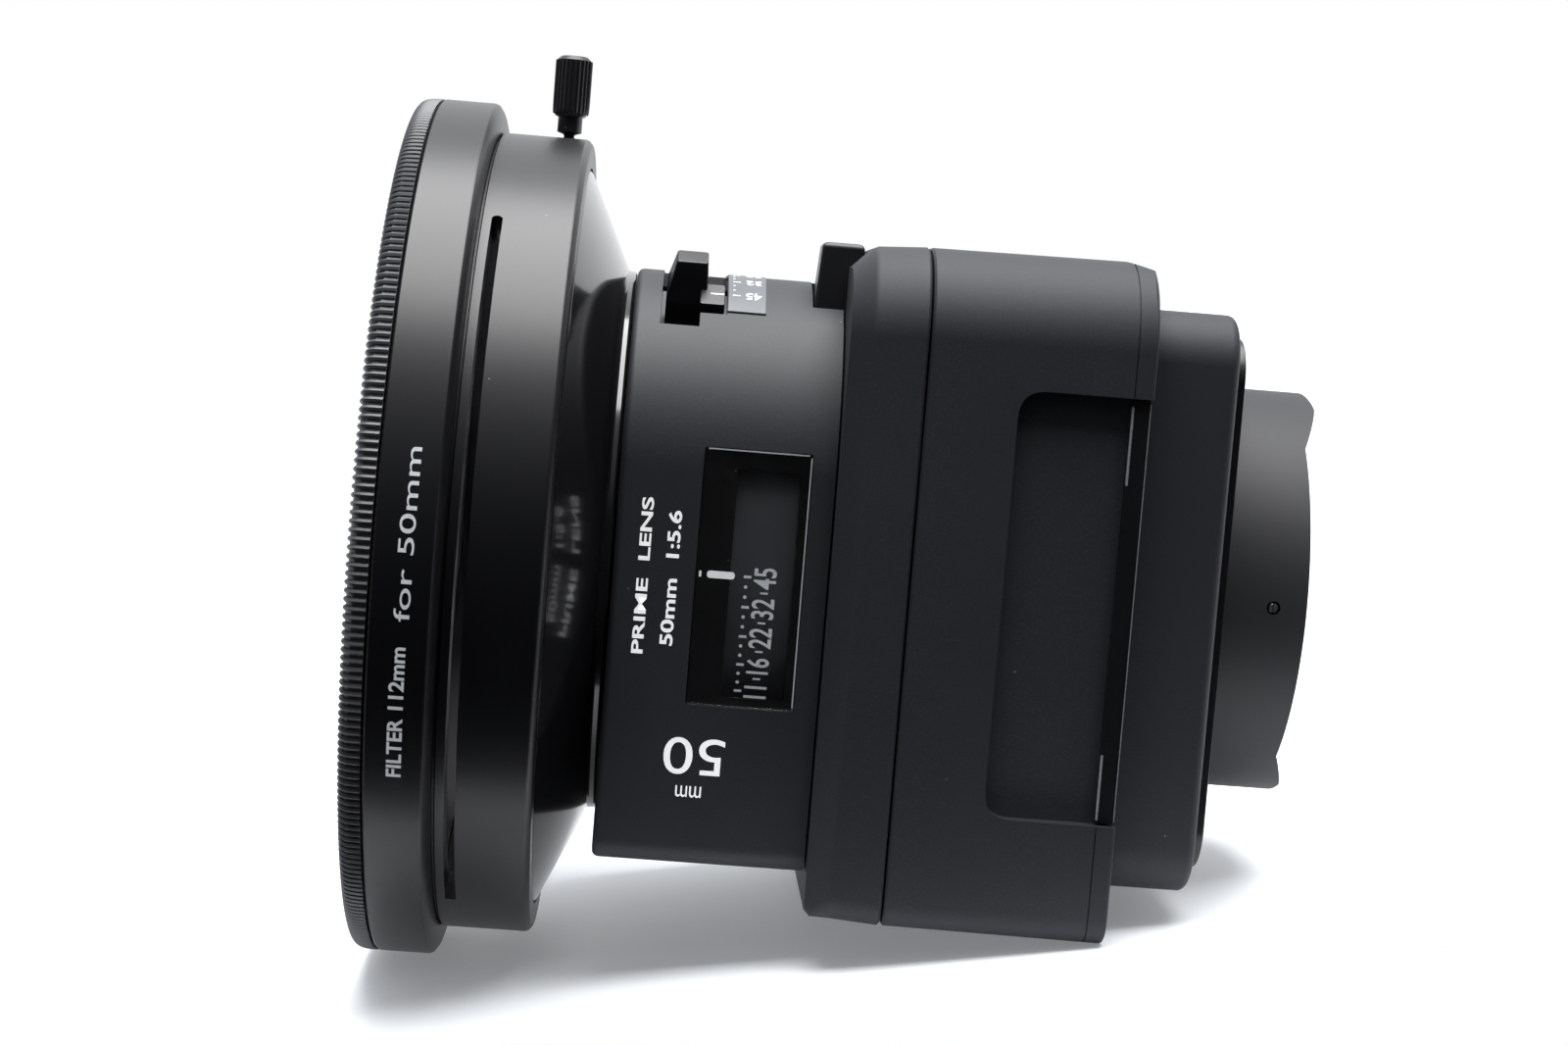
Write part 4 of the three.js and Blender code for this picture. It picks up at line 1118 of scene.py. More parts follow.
@dataclass
class Optics(Assembly):
    """The glass, its cells and rings."""

    elements: tuple[Element, ...] = (
        Element("front_element", 37.5, 21.0, 9.0, 26.3, 9.8, 28.0),
        Element("second_element", 26.5, 31.9, 3.0, 36.6, 2.2, 22.5),
        Element("third_element", 22.5, 38.8, 1.6, 43.0, -1.2, 22.5),
        Element("fourth_element", 16.0, 64.75, 1.2, 70.25, -1.5, 16.0),
        Element("fifth_element", 19.0, 84.3, 1.8, 89.3, 1.2, 17.0),
        Element("rear_element", 24.6, 116.55, -1.6, 122.65, -1.2, 24.6),
    )

    def build(self) -> None:
        """Makes the elements and the rings that show."""
        for element in self.elements:
            glass = turned(element.profile(), 96)
            self.piece(f"{element.node}_ground", glass, Slot.OPTICS, [element.node])
        self._cone()
        self._name_ring()
        self._rear_cell()

    def _cone(self) -> None:
        """The cone between the filter holder and the barrel."""
        rim, neck, bore, rear = 52.6, 38.9, 33.0, 31.8
        profile = [
            (14.7, 50.6), (14.7, rim), (24.1, rim), (24.35, rim - 0.25), (30.55, neck + 0.15), (30.85, neck),
            (31.45, neck), (31.7, neck - 0.12), (rear, neck - 0.4), (rear, bore), (30.6, bore), (30.6, 36.0),
            (30.0, 37.3), (24.9, 48.3), (23.5, 50.6)]
        self.piece("cone", turned(profile, 224), Slot.GLOSS, ["front_cone"], crease=24.0)

    def _name_ring(self) -> None:
        """The ring round the front element, and the front retaining ring."""
        outer, inner = 50.3, 38.0
        steps = 12
        slope = [(15.4 + 4.1 * i / steps, 49.4 - (49.4 - inner) * i / steps) for i in range(steps + 1)]
        stepped = [(x, r - 0.12 * (i % 2)) for i, (x, r) in enumerate(slope)]
        profile = [(15.3, outer - 0.2), *stepped, (19.6, inner + 0.3), (19.6, 40.5), (16.5, outer)]
        self.piece("name_ring_turned", turned(profile, 128), Slot.GLOSS, ["name_ring"], crease=20.0)
        grip = [(18.3, 36.0), (18.3, 37.5), (20.6, 37.5), (19.8, 36.0)]
        self.piece("front_ring_turned", turned(grip, 128), Slot.SATIN, ["front_retaining_ring"])

    def _rear_cell(self) -> None:
        """The cell and the slotted ring that hold the rear element."""
        end, glass = 125.05, 24.6
        profile = [
            (91.1, 21.9), (91.1, 25.9), (114.4, 25.9), (114.4, 27.1), (end - 0.3, 27.1), (end, 26.8),
            (end, glass + 0.6), (end - 0.3, glass + 0.3), (116.25, glass + 0.3), (116.25, 21.9)]
        self.piece("rear_cell_turned", turned(profile, 128), Slot.SATIN, ["rear_cell"])
        ring = turned([
            (end - 2.0, glass - 1.6), (end - 2.0, glass), (end - 0.2, glass), (end - 0.2, glass - 0.8),
            (end - 0.35, glass - 1.0)], 128)
        notch = block((end - 1.1, -glass - 1, -0.6), (end + 1, glass + 1, 0.6))
        self.piece("rear_ring_slotted", combined(ring, [notch]), Slot.SATIN, ["rear_retaining_ring"])


# ---------------------------------------------------------------- barrel


def preview_room(inner: float, start: float, end: float) -> Mesh:
    """The room in which the preview lever swings, between two stations."""
    sweep = sector(inner, 70, 50.0, 84.0, start, end)
    return combined(sweep, [block((start - 1, -26.4, 0), (end + 1, 26.4, 70))], "INTERSECT")


@dataclass(frozen=True)
class Preview:
    """The preview lever's finger block, which stands straight up."""

    length: float = 6.4
    near: float = 26.1
    far: float = 18.2
    low: float = 34.6
    high: float = 44.6
    draft: float = 0.6
    edge: float = 0.8

    def block(self, start: float) -> Mesh:
        """The block, from its front station, with a rounded top."""
        levels = [(self.low, 0.0, 0.0)]
        levels += [(self.high - back, self.draft, inset) for back, inset in quarter_round(self.edge, 5)]
        sections = []
        for height, draft, ease in levels:
            inset = draft + ease
            across = (-self.far - inset, -self.near + inset)
            sections.append((height, rectangle(across, (start + inset, start + self.length - ease), 0.5, 4)))
        mesh = lofted(sections)
        mesh.transform(Matrix(((0, 0, 1, 0), (0, 1, 0, 0), (1, 0, 0, 0), (0, 0, 0, 1))))
        mesh.flip_normals()
        return mesh


@dataclass
class Barrel(Assembly):
    """The square barrel with its dial window, aperture scale and levers."""

    start: float = 32.1
    length: float = 28.15
    half: float = 39.2
    top: float = 26.0
    bottom: float = 3.0
    wall: float = 2.0
    drum: float = 36.4
    corner: float = 44.07
    degrees_per_stop: float = 6.4
    pointer_angle: float = 55.2
    lever_notch: Pair = (3.6, 8.9)
    pointer_notch: Pair = (8.8, 12.5)
    notch_end: float = 106.9
    window: Pair = (10.8, 25.1)
    window_heights: Pair = (-17.7, 16.4)
    fit: float = 0.15
    scale_at: float = 12.5
    scale_width: float = 5.2
    scale_angles: Pair = (50.0, 105.0)
    preview_at: float = 24.1
    finger_angle: float = 60.0
    preview: Preview = Preview()
    numbers: tuple[str, ...] = ("45", "32", "22", "16", "11", "8", "5.6")

    def build(self) -> None:
        """Makes the barrel and what is in it."""
        self._sleeve()
        self._window()
        self._scale()
        self._drum()
        self._levers()
        self._labels()

    def outline(self, inset: float, steps: int = 40) -> list[Pair]:
        """The barrel's section, inset by a distance."""
        return rounded_square(self.half - inset, self.top - inset, max(self.bottom - inset, 0.5), steps)

    def _sleeve(self) -> None:
        """The moulded barrel with its openings."""
        s, edge = self.start, 0.9
        end = s + self.length
        sections = [(s + back, self.outline(inset)) for back, inset in reversed(quarter_round(edge, 4))]
        skin = lofted([*sections, (end, self.outline(0))])
        inside = prism(self.outline(self.wall), s + 1.5, end + 1)
        bore = rod(s - 1, s + 2, 33.0, 128)
        near = self.drum - 1
        lever_notch, pointer_notch = (
            sector(near, 70, first, self.notch_end, s + front, s + rear)
            for first, (front, rear) in ((45.5, self.lever_notch), (49.1, self.pointer_notch)))
        preview_slot = preview_room(near, s + 24.0, end + 1)
        frame = rectangle([s + x for x in self.window], self.window_heights, 0.5)
        window = side_prism(frame, -self.half - 1, -self.half + self.wall + 0.5)
        low, high = self.scale_angles
        pocket = self._scale_band(0.68, 1.0, low - 0.4, high + 0.4)
        barrel = combined(skin, [inside, bore, lever_notch, pointer_notch, preview_slot, window, pocket])
        self.piece("barrel", barrel, Slot.BARREL, ["barrel_sleeve"], crease=28.0)

    def _scale_band(self, inset: float, outset: float, low: float, high: float) -> Mesh:
        """Part of a thin band round the barrel, between two angles."""
        front = self.start + self.scale_at
        rear = front + self.scale_width
        outer = prism(self.outline(-outset), front, rear)
        inner = prism(self.outline(inset), front - 1, rear + 1)
        keep = sector(self.drum, 70, low, high, front - 1, rear + 1)
        return combined(combined(outer, [inner]), [keep], "INTERSECT")

    def _window(self) -> None:
        """The black window, its clear pane, bright frame lines and white index."""
        s = self.start
        low, high = self.window_heights[0] + self.fit, self.window_heights[1] - self.fit
        front, rear = s + self.window[0] + self.fit, s + self.window[1] - self.fit
        back = -self.half + 1.2
        edge = rectangle((front, rear), (low, high), 0.4)
        pane = side_prism(edge, -self.half, back)
        self.piece("window_clear", softened(pane, 0.12), Slot.PANE, ["window_pane"])
        mask = side_prism(edge, back + 0.2, back + 0.8)
        opening = side_prism(rectangle((s + 15.4, s + 23.8), (-16.5, 13.7), 0.3), -self.half - 1, 0)
        self.piece("window_surround", combined(mask, [opening]), Slot.WINDOW, ["window_mask"])
        bar = rectangle((44.45, 48.1), (-0.85, 0.1), 0.46, 6)
        tick = rectangle((43.4, 43.7), (-0.8, 0.0), 0.1, 2)
        index = together(*(side_prism(shape, back + 0.1, back + 0.2) for shape in (bar, tick)))
        ink = self.material("white_ink", WHITE_INK)
        self.piece("window_index", index, Slot.WINDOW, material=ink)
        line = 0.16
        top = rectangle((front + 0.4, rear - 0.4), (high - line, high))
        side = rectangle((rear - line, rear), (low + 0.4, high - 0.4))
        lines = together(*(side_prism(shape, -self.half - 0.02, -self.half + 0.3) for shape in (top, side)))
        bright = self.material("frame_line", FRAME_LINE)
        self.piece("window_frame_lines", lines, Slot.WINDOW, material=bright)

    def _scale(self) -> None:
        """The curved scale plate beside the levers and its figures."""
        plate = softened(self._scale_band(0.38, 0.12, *self.scale_angles), 0.08, 1, 60.0)
        self.piece("scale_curved", plate, Slot.DIAL, ["scale_plate"])
        ink = self.material("white_ink", WHITE_INK)
        start = self.start + self.scale_at
        figures, marks = [], []
        for i, number in enumerate(self.numbers):
            angle = self.pointer_angle + self.degrees_per_stop * i
            words = Lettering(number, 1.9, bold=0.01, squeeze=0.85).mesh()
            words.transform(self.on_scale(angle, start + 3.5))
            figures.append(words)
            tick = block((-0.5, -0.09, -0.04), (0.5, 0.09, 0.04))
            tick.transform(self.on_scale(angle, start + 1.15))
            marks.append(tick)
            for share in (1 / 3, 2 / 3) if i < len(self.numbers) - 1 else ():
                dot = block((-0.14, -0.1, -0.04), (0.14, 0.1, 0.04))
                dot.transform(self.on_scale(angle + self.degrees_per_stop * share, start + 0.8))
                marks.append(dot)
        self.piece("scale_figures", together(*figures), Slot.DIAL, material=ink)
        self.piece("scale_marks", together(*marks), Slot.DIAL, material=ink)

    def on_scale(self, angle: float, station: float) -> Matrix:
        """The placement of a mark on the scale plate that reads towards the front of the lens.

        Args:
            angle: degrees above the near side, seen from the axis.
            station: its station.

        Returns:
            Where u, v and w of the mark go.
        """
        reach = self.half - self.top
        radius = self.top + 0.12
        turn = math.radians(angle)
        ray = Vector((0.0, -math.cos(turn), math.sin(turn)))
        flat_from = math.atan2(reach + radius, reach)
        if turn < flat_from:
            centre = Vector((0.0, -reach, reach))
            along = ray.dot(centre)
            distance = along + math.sqrt(along * along - centre.length_squared + radius * radius)
            place = ray * distance
            out = (place - centre).normalized()
        else:
            place = ray * ((reach + radius) / math.sin(turn))
            out = Vector((0.0, 0.0, 1.0))
        up = out.cross(BACKWARDS)
        place.x = station
        return Matrix.Translation(place) @ Matrix((BACKWARDS, up, out)).transposed().to_4x4()

    def _drum(self) -> None:
        """The drum behind the window, with its figures and marks."""
        s = self.start + 3.3
        inner = self.drum - 1.5
        profile = [
            (s, inner), (s, self.drum - 0.2), (s + 0.2, self.drum), (s + 20.5, self.drum),
            (s + 20.7, self.drum - 0.2), (s + 20.7, inner)]
        self.piece("drum_turned", turned(profile, 192), Slot.DIAL, ["aperture_drum"], body=Body.APERTURE)
        ink = self.material("dial_ink", GREY_INK)
        arc = math.radians(self.degrees_per_stop) * self.drum
        figures = []
        for i, number in enumerate(self.numbers):
            words = Lettering(number, 3.0, bold=0.012, squeeze=0.72).mesh()
            figures.append(wrapped_on_near(words, self.drum, self.start + 20.1, -0.6 - arc * i))
        self.piece("drum_figures", together(*figures), Slot.DIAL, material=ink, body=Body.APERTURE)
        first = math.radians(-0.8)
        step = -math.radians(self.degrees_per_stop)
        common = {"Radius": self.drum, "Thickness": 0.08, "Material": ink}
        ticks = DialMarks().grow(
            empty_mesh(), Count=7, First=first, Step=step, Station=self.start + 17.75, Length=1.0, Width=0.34,
            Round=False, **common)
        dashes = DialMarks().grow(
            empty_mesh(), Count=6, First=first + step / 2, Step=step, Station=self.start + 20.1, Length=1.0,
            Width=0.24, Round=False, **common)
        dots = [DialMarks().grow(
            empty_mesh(), Count=6, First=first + step * share, Step=step, Station=self.start + 17.6,
            Length=0.0,
            Width=0.46, Round=True, **common) for share in (1 / 3, 2 / 3)]
        self.piece("drum_marks", together(ticks, dashes, *dots), Slot.DIAL, material=ink, body=Body.APERTURE)

    @staticmethod
    def standing(angle: float) -> Matrix:
        """Turns (height, sideways, station) into place at an angle above the near side."""
        turn = math.radians(angle)
        return Matrix((
            (0.0, -math.cos(turn), math.sin(turn)), (0.0, -math.sin(turn), -math.cos(turn)),
            (1.0, 0.0, 0.0))).transposed().to_4x4()

    def _finger(self, angle: float, ends: Pair, heights: Pair, halves: Pair, tapers: Pair) -> Mesh:
        """A finger block standing along a radius.

        Args:
            angle: degrees above the near side.
            ends: stations of its foot.
            heights: distances of its foot and of its tip from the axis.
            halves: half its width at the foot and at the tip.
            tapers: how far its front and rear lean in at the tip.

        Returns:
            The block, with rounded corners and an eased top.
        """
        foot, tip = halves
        low, high = heights
        shoulder = min(high - 1, self.corner - 1.6)

        def section(height: float, share: float, ease: float) -> tuple[float, list[Pair]]:
            """One rounded outline, a share of the way up its taper."""
            half = foot + (tip - foot) * share - ease
            along = (ends[0] + tapers[0] * share + ease, ends[1] - tapers[1] * share - ease)
            return height, rectangle((-half, half), along, 0.35)

        edge = 0.22
        rise = high - shoulder
        mesh = lofted([
            section(low, 0, 0), section(shoulder, 0, 0), section(high - edge, 1 - edge / rise, 0),
            section(high - 0.3 * edge, 1 - 0.3 * edge / rise, 0.3 * edge), section(high, 1, edge)])
        mesh.transform(self.standing(angle))
        return mesh

    def _levers(self) -> None:
        """The aperture lever with its pointer, and the preview lever."""
        start = self.start + 4.15
        finger = self._finger(
            self.finger_angle, (start, start + 5.6), (self.drum + 0.3, self.corner + 3.5),
            (3.6, 1.6), (1.15, 0.25))
        arrow = self._finger(
            self.pointer_angle, (start + 4.6, start + 7.95), (self.corner - 3.2, self.corner + 0.2),
            (2.4, 2.4), (0.0, 0.0))
        self.piece("lever", together(finger, arrow), Slot.SATIN, ["aperture_lever"], body=Body.APERTURE)
        line = block((-0.02, -0.13, 0.0), (0.05, 0.13, 1.8))
        line.transform(self.standing(self.pointer_angle) @ moved(self.corner + 0.2, 0, start + 6.0))
        ink = self.material("white_ink", WHITE_INK)
        self.piece("pointer_line", line, Slot.SATIN, material=ink, body=Body.APERTURE)
        at = self.start + self.preview_at
        arc = sector(34.9, self.drum + 0.2, 51.0, 69.0, at + 0.2, at + 2.6, 12)
        stem = self._finger(
            self.finger_angle, (at + 0.2, at + 2.6), (self.drum - 0.5, self.corner - 1),
            (2.4, 2.4), (0.0, 0.0))
        grip = self.preview.block(at)
        self.piece(
            "preview_finger", together(arc, stem, grip), Slot.SATIN, ["preview_lever"], body=Body.PREVIEW)

    def _labels(self) -> None:
        """Plain generic words and the focal length on the near side."""
        ink = self.material("white_ink", WHITE_INK)
        lines = {
            "label_kind": (Lettering("PRIME  LENS", 1.55, 20.6, 0.022), UPWARDS, 36.05, -1.1),
            "label_opening": (Lettering("50mm  1:5.6", 1.75, 17.8, 0.022), UPWARDS, 39.75, -1.2),
            "label_focal_length": (Lettering("50", 4.9, 8.0, 0.0), BACKWARDS, 44.6, -24.5),
            "label_unit": (Lettering("mm", 1.5, 3.4, 0.0), BACKWARDS, 44.2, -29.2),
        }
        for name, (words, right, station, height) in lines.items():
            mesh = flat_on_near(words.mesh(), right, station, height, self.half)
            self.piece(name, mesh, Slot.BARREL, material=ink)


# ---------------------------------------------------------------- box


@dataclass
class Box(Assembly):
    """The two-part housing behind the barrel."""

    front_half: float = 44.3
    seam_half: float = 44.7
    rear_half: float = 45.0
    top: float = 12.0
    bottom: float = 3.7
    bevel: float = 3.0
    bevel_below: float = 0.8
    wall: float = 2.0
    grip: Pair = (-28.9, 27.1)
    grip_start: float = 11.9
    grip_depth: float = 2.5

    def build(self) -> None:
        """Makes both shells and the lock rail."""
        self._front_shell()
        self._rear_shell()
        self._rail()

    def outline(self, half: float, inset: float = 0.0, below: float | None = None) -> list[Pair]:
        """The box's section, inset by a distance, with its own inset underneath."""
        lift = inset if below is None else below
        square = rounded_square(half - inset, max(self.top - inset, 1), max(self.bottom - inset, 1), 16)
        return [(y, z - inset + lift if z < 0 else z) for y, z in square]

    def _front_shell(self) -> None:
        """The bevelled front shell."""
        start, end = self.frame.span("front_shell")
        nose = lofted([
            (start, self.outline(self.front_half, self.bevel, self.bevel_below)),
            (start + self.bevel_below, self.outline(self.front_half, self.bevel - self.bevel_below, 0)),
            (start + self.bevel - 0.35, self.outline(self.front_half, 0.35, 0)),
            (start + self.bevel + 0.35, self.outline(self.front_half, -0.02)),
            (end - 0.3, self.outline(self.seam_half)),
            (end, self.outline(self.seam_half, 0.3))])
        inside = prism(self.outline(self.front_half, self.wall), start + self.wall, end + 1)
        bore = rod(start - 1, start + 3, 37.4, 128)
        pocket = preview_room(36.4, start - 1, self.frame.end("preview_lever") + 0.4)
        shell = combined(nose, [inside, bore, pocket])
        self.piece("box_front", shell, Slot.BOX, ["front_shell"], crease=24.0)

    def _rear_shell(self) -> None:
        """The rear shell with its finger recess, parting line and worn top edge."""
        start, end = self.frame.span("rear_shell")
        low, high = self.grip
        skin = lofted([
            (start, self.outline(self.seam_half, 0.3)), (start + 0.3, self.outline(self.seam_half)),
            (end - 0.5, self.outline(self.rear_half)), (end - 0.15, self.outline(self.rear_half, 0.15)),
            (end, self.outline(self.rear_half, 0.5))])
        depth = self.grip_depth + self.wall
        hollow = combined(prism(self.outline(self.seam_half, self.wall), start - 1, end - self.wall), [
            block((start + self.grip_start - self.wall, -self.rear_half, low - self.wall),
                  (end, -self.rear_half + depth, high + self.wall))])
        back = prism(rounded_square(34, 5, 5, 12), end - self.wall - 1, end + 1)
        first = start + self.grip_start
        grip = side_prism(rounded([
            (end + 1, low), (end + 1, high), (first, high, 3.7), (first, low, 3.7)], 8),
            -self.rear_half - 1, -self.rear_half + self.grip_depth)
        half = self.rear_half
        chamfer = side_prism([(end - 4.2, half + 0.2), (end + 1, half + 0.2), (end + 1, half - 1.45)], -50,
            50)
        line = combined(
            prism(self.outline(half, -1), end - 2.75, end - 2.55),
            [prism(self.outline(half, 0.25), end - 4, end)])
        shell = combined(skin, [hollow, back, grip, chamfer, line])
        self.piece("box_rear", shell, Slot.BOX, ["rear_shell"], crease=24.0,
                        material=self._chipped(end))

    def _chipped(self, end: float) -> Material:
        """The box's finish with its paint chipped along the top rear edge."""
        plain = FINISHES[Slot.BOX]
        corner = self.frame.world() @ Vector((end, 0.0, self.rear_half))
        worn = Chipped(**vars(plain), edge=(corner.x, corner.z))
        return self.material("box_plastic_chipped", worn)

    def _rail(self) -> None:
        """The sliding lock rail in the recess, with painted highlights along its edges."""
        start, end = self.frame.span("lock_rail")
        low, high = self.frame.low("lock_rail"), self.frame.high("lock_rail")
        near = self.frame.near("lock_rail")
        far = -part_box("lock_rail")[1].y / MM
        rail = softened(block((start, -near, low), (end, -far, high)), 0.22)
        self.piece("rail", rail, Slot.SATIN, ["lock_rail"])
        # Thin grey strips on the rail's edges are painted highlights.
        edges = [
            block((end - 0.12, -near - 0.02, low + 0.3), (end, -near + 0.2, high - 0.3)),
            block((start, -near - 0.02, high - 11.0), (start + 0.3, -near + 0.2, high - 0.8)),
            block((start, -near - 0.02, low + 0.4), (start + 0.3, -near + 0.2, low + 9.0))]
        bright = self.material("bare_edge", RAIL_PAINTED_HIGHLIGHT)
        self.piece("rail_bare_edges", together(*edges), Slot.SATIN, material=bright)


# ---------------------------------------------------------------- mount


@dataclass
class Mount(Assembly):
    """The rear board, its plate, the horned tube and the contacts."""

    half: float = 39.0
    corner: float = 7.0
    edge: float = 1.2
    wall: float = 2.0
    bore: float = 26.2
    plate_half: float = 36.0
    plate_corner: float = 6.0
    tube: float = 29.1
    tube_wall: float = 1.7
    screws_at: float = 31.5
    screw_head: float = 1.6

    def build(self) -> None:
        """Makes the mount."""
        self._board()
        self._plate()
        self._screws()
        self._tube()
        self._set_screw()
        self._contacts()

    def _outline(self, inset: float) -> list[Pair]:
        """The board's section, inset by a distance."""
        corner = self.corner - inset
        return rounded_square(self.half - inset, corner, corner, 12)

    def _board(self) -> None:
        """The moulded board with its rounded rear edge."""
        start, end = self.frame.span("rear_board")
        turn = [(end - back, self._outline(inset)) for back, inset in quarter_round(self.edge, 5)]
        outer = lofted([(start, self._outline(0.0)), *turn])
        inside = prism(self._outline(self.wall), start - 1, end - self.wall)
        bore = rod(end - 3, end + 1, self.bore, 128)
        board = combined(outer, [inside, bore])
        self.piece("board_moulded", board, Slot.BOX, ["rear_board"], crease=24.0)

    def _plate(self) -> None:
        """The metal plate."""
        start, end = self.frame.span("rear_plate")
        sheet = prism(rounded_square(self.plate_half, self.plate_corner, self.plate_corner, 12), start, end)
        bore = self.tube + 0.3
        cutters = [rod(start - 1, end + 1, bore, 160)]
        for y in (-1, 1):
            for z in (-1, 1):
                hole = rod(start - 1, end + 1, 1.9, 32)
                hole.transform(moved(0, y * self.screws_at, z * self.screws_at))
                cutters.append(hole)
        plate = softened(combined(sheet, cutters), 0.18, 2, 60.0)
        self.piece("plate_sheet", plate, Slot.SATIN, ["rear_plate"])

    def _screws(self) -> None:
        """The four cross-head screws of the plate."""
        start, end = self.frame.span("rear_screw_1")
        head = self.screw_head
        body = turned([
            (start, 0.0), (start, 0.9 * head), (start + 0.2, head), (end - 0.3, head), (end, head - 0.35),
            (end, 0.0)], 32)
        cross = [block((end - 0.6, -y, -z), (end + 1, y, z)) for y, z in ((0.2, 0.95), (0.95, 0.2))]
        fastener = placed("fastener", combined(body, cross))
        screws = CornerFasteners().grow(
            empty_mesh(), Pitch=2 * self.screws_at, Fastener=fastener,
            Material=self.shop.materials[Slot.STEEL])
        bpy.data.objects.remove(fastener)
        self.piece("plate_screws", screws, Slot.STEEL, [f"rear_screw_{i}" for i in range(1, 5)])

    def _tube(self) -> None:
        """The rear tube with its two horns."""
        start, end = self.frame.span("rear_tube")
        rim, outer, inner = end - 2.95, self.tube, self.tube - self.tube_wall
        pipe = turned([
            (start, self.bore), (start, outer), (end - 0.2, outer), (end, outer - 0.2), (end, inner + 0.2),
            (end - 0.2, inner), (start + 1.5, inner), (start + 1.5, self.bore)], 192)
        shoulder, full = outer * math.sin(math.radians(48)), outer * math.sin(math.radians(69.7))
        window = side_prism(rounded([
            (rim, -shoulder, 0.5), (end - 0.001, -full, 0.8), (end - 0.001, -40), (end + 2, -40), (end + 2,
            40),
            (end - 0.001, 40), (end - 0.001, full, 0.8), (rim, shoulder, 0.5)], 5), -40, 40)
        screw = rod(0, 6, 0.95, 24)
        screw.transform(moved(rim - 4.6, -outer + 4) @ Matrix.Rotation(-math.pi / 2, 4, "Z"))
        tube = combined(pipe, [window, screw])
        matt = self.material("tube_matt", TUBE)
        self.piece("tube_horned", tube, Slot.SATIN, ["rear_tube"], matt, crease=28.0)

    def _set_screw(self) -> None:
        """The slotted set screw in the side of the tube."""
        rim = self.frame.end("rear_tube") - 2.95
        screw = turned([(0, 0.0), (0, 0.55), (0.1, 0.65), (1.3, 0.65), (1.3, 0.0)], 24)
        slot = block((-0.5, -0.12, -1.0), (0.3, 0.12, 1.0))
        screw = combined(screw, [slot])
        screw.transform(moved(rim - 4.6, -self.tube + 0.1) @ Matrix.Rotation(math.pi / 2, 4, "Z"))
        self.piece("set_screw_slotted", screw, Slot.STEEL, ["tube_set_screw"])

    def _contacts(self) -> None:
        """The contact block with its row of gold pads."""
        start, end = self.frame.span("contact_block")
        low, high = self.frame.low("contact_block"), self.frame.high("contact_block")
        body = softened(block((start, -9, low), (end, 9, high)), 0.15)
        self.piece("contact_carrier", body, Slot.GLOSS, ["contact_block"])
        gold = self.material("gold_contacts", GOLD)
        middle = (low + high) / 2
        pads = PadRow().grow(
            empty_mesh(), Count=8, Start=(end, -7.35, middle), Pitch=(0.0, 2.1, 0.0), Pad=(0.1, 1.2, 1.0),
            Material=gold)
        self.piece("contact_pads", pads, Slot.GLOSS, material=gold)


# ---------------------------------------------------------------- studio


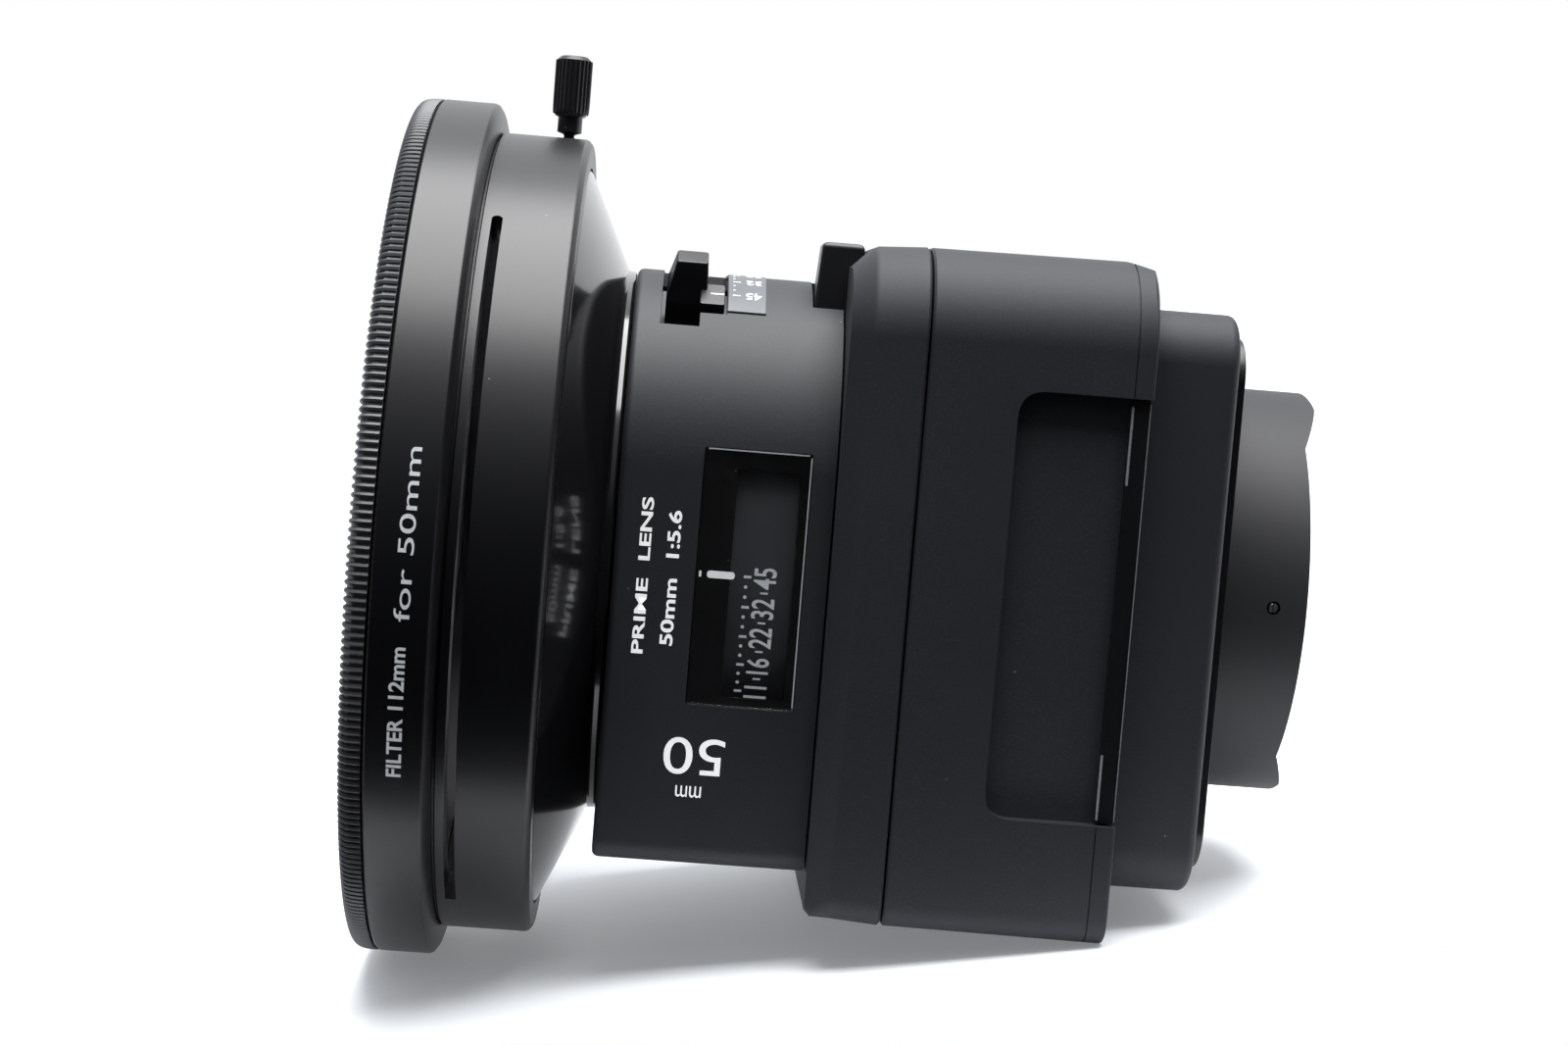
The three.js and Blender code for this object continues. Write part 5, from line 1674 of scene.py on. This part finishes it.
@dataclass
class Studio:
    """Camera, lights and the pale table."""

    camera_at: tuple[float, float, float] = (-26.9, -389.7, 94.0)
    yaw: float = -2.64
    pitch: float = -4.2
    roll: float = -4.63
    focal: float = 61.67
    sensor: float = 36.0
    table_contact: Pair = (-54.7, 0.0)
    table_slope: float = 10.06
    front: float = 0.06
    reach: float = 6.0

    def build(self) -> None:
        """Sets everything up."""
        scene = bpy.context.scene
        scene.view_settings.view_transform = "Standard"
        self._camera(scene)
        self._world(scene)
        self._lamp("overhead", (0.0, -0.08, 0.75), (0.0, 0.0, 0.05), 0.65, 12.5)
        self._table()

    def _camera(self, scene: bpy.types.Scene) -> None:
        """The camera, a little above the lens and turned towards it."""
        turn = (
            Matrix.Rotation(math.radians(self.yaw), 3, "Z") @ Matrix.Rotation(math.radians(self.pitch), 3,
            "X")
            @ Matrix.Rotation(math.radians(self.roll), 3, "Y"))
        right, forward, up = turn.col[0], turn.col[1], turn.col[2]
        data = bpy.data.cameras.new("camera")
        data.sensor_width = self.sensor
        data.lens = self.focal
        data.clip_start = 0.01
        camera = placed("camera", data)
        camera.matrix_world = Matrix.Translation(Vector(self.camera_at) * MM) @ Matrix(
            (right, up, -forward)).transposed().to_4x4()
        scene.camera = camera

    def _world(self, scene: bpy.types.Scene) -> None:
        """White behind the lens; for light, bright above and behind and dim in front."""
        world = bpy.data.worlds.new("studio")
        world.use_nodes = True
        world.node_tree.nodes.clear()
        scene.world = world
        tree = Tree(world.node_tree)
        way = tree.node("ShaderNodeTexCoord", output="Generated")
        height = tree.node("ShaderNodeSeparateXYZ", {}, {"Vector": way}, output="Z")
        depth = tree.node("ShaderNodeSeparateXYZ", {}, {"Vector": way}, output="Y")
        strength = height.between(0.25, 0.8) * 0.5 + depth.between(0.0, 0.9) * 1.1 + 0.018
        side = tree.node("ShaderNodeSeparateXYZ", {}, {"Vector": way}, output="X")
        strength = strength + (side * -1.0).between(0.4, 1.0) * 0.3
        seen = tree.node("ShaderNodeLightPath", output="Is Camera Ray")
        light = tree.node("ShaderNodeBackground", {}, {"Color": (0.96, 0.98, 1.0, 1.0), "Strength": strength})
        white = tree.node("ShaderNodeBackground", {}, {"Color": (1.0, 1.0, 1.0, 1.0), "Strength": 1.0})
        both = tree.node("ShaderNodeMixShader", {}, {0: seen, 1: light, 2: white})
        tree.node("ShaderNodeOutputWorld", {}, {"Surface": both})

    @staticmethod
    def _lamp(name: str, place: Sequence[float], target: Sequence[float], size: float, power: float) -> None:
        """A soft square lamp aimed at a point."""
        data = bpy.data.lights.new(name, "AREA")
        data.size = size
        data.energy = power
        lamp = placed(name, data)
        aim = (Vector(target) - Vector(place)).to_track_quat("-Z", "Y")
        lamp.matrix_world = Matrix.Translation(Vector(place)) @ aim.to_matrix().to_4x4()

    def _table(self) -> None:
        """The table that the lens rests on, on the edge of its holder and the foot of its box."""
        turn = math.radians(self.table_slope)
        along = Vector((math.cos(turn), 0.0, math.sin(turn)))
        contact = Vector((self.table_contact[0], 0.0, self.table_contact[1])) * MM
        corners = [contact + along * x + Vector((0.0, y, 0.0)) for x, y in (
            (-self.reach, -self.front), (self.reach, -self.front), (self.reach, self.reach),
            (-self.reach, self.reach))]
        mesh = bpy.data.meshes.new("table")
        mesh.from_pydata([tuple(c) for c in corners], [], [(0, 1, 2, 3)])
        mesh.materials.append(Table().build("table_top"))
        placed("table", mesh)


def main() -> None:
    """Loads the frame and builds the lens around it."""
    logging.basicConfig(level=logging.INFO, format="%(name)s %(message)s")
    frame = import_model()
    shop = Workshop(LensFrame(), FINISHES)
    shop.dress(frame["nodes"], frame["record"])
    for assembly in (FilterHolder(shop), Optics(shop), Barrel(shop), Box(shop), Mount(shop), Studio()):
        LOG.info("building %s", type(assembly).__name__)
        assembly.build()


if __name__ == "__main__":
    main()
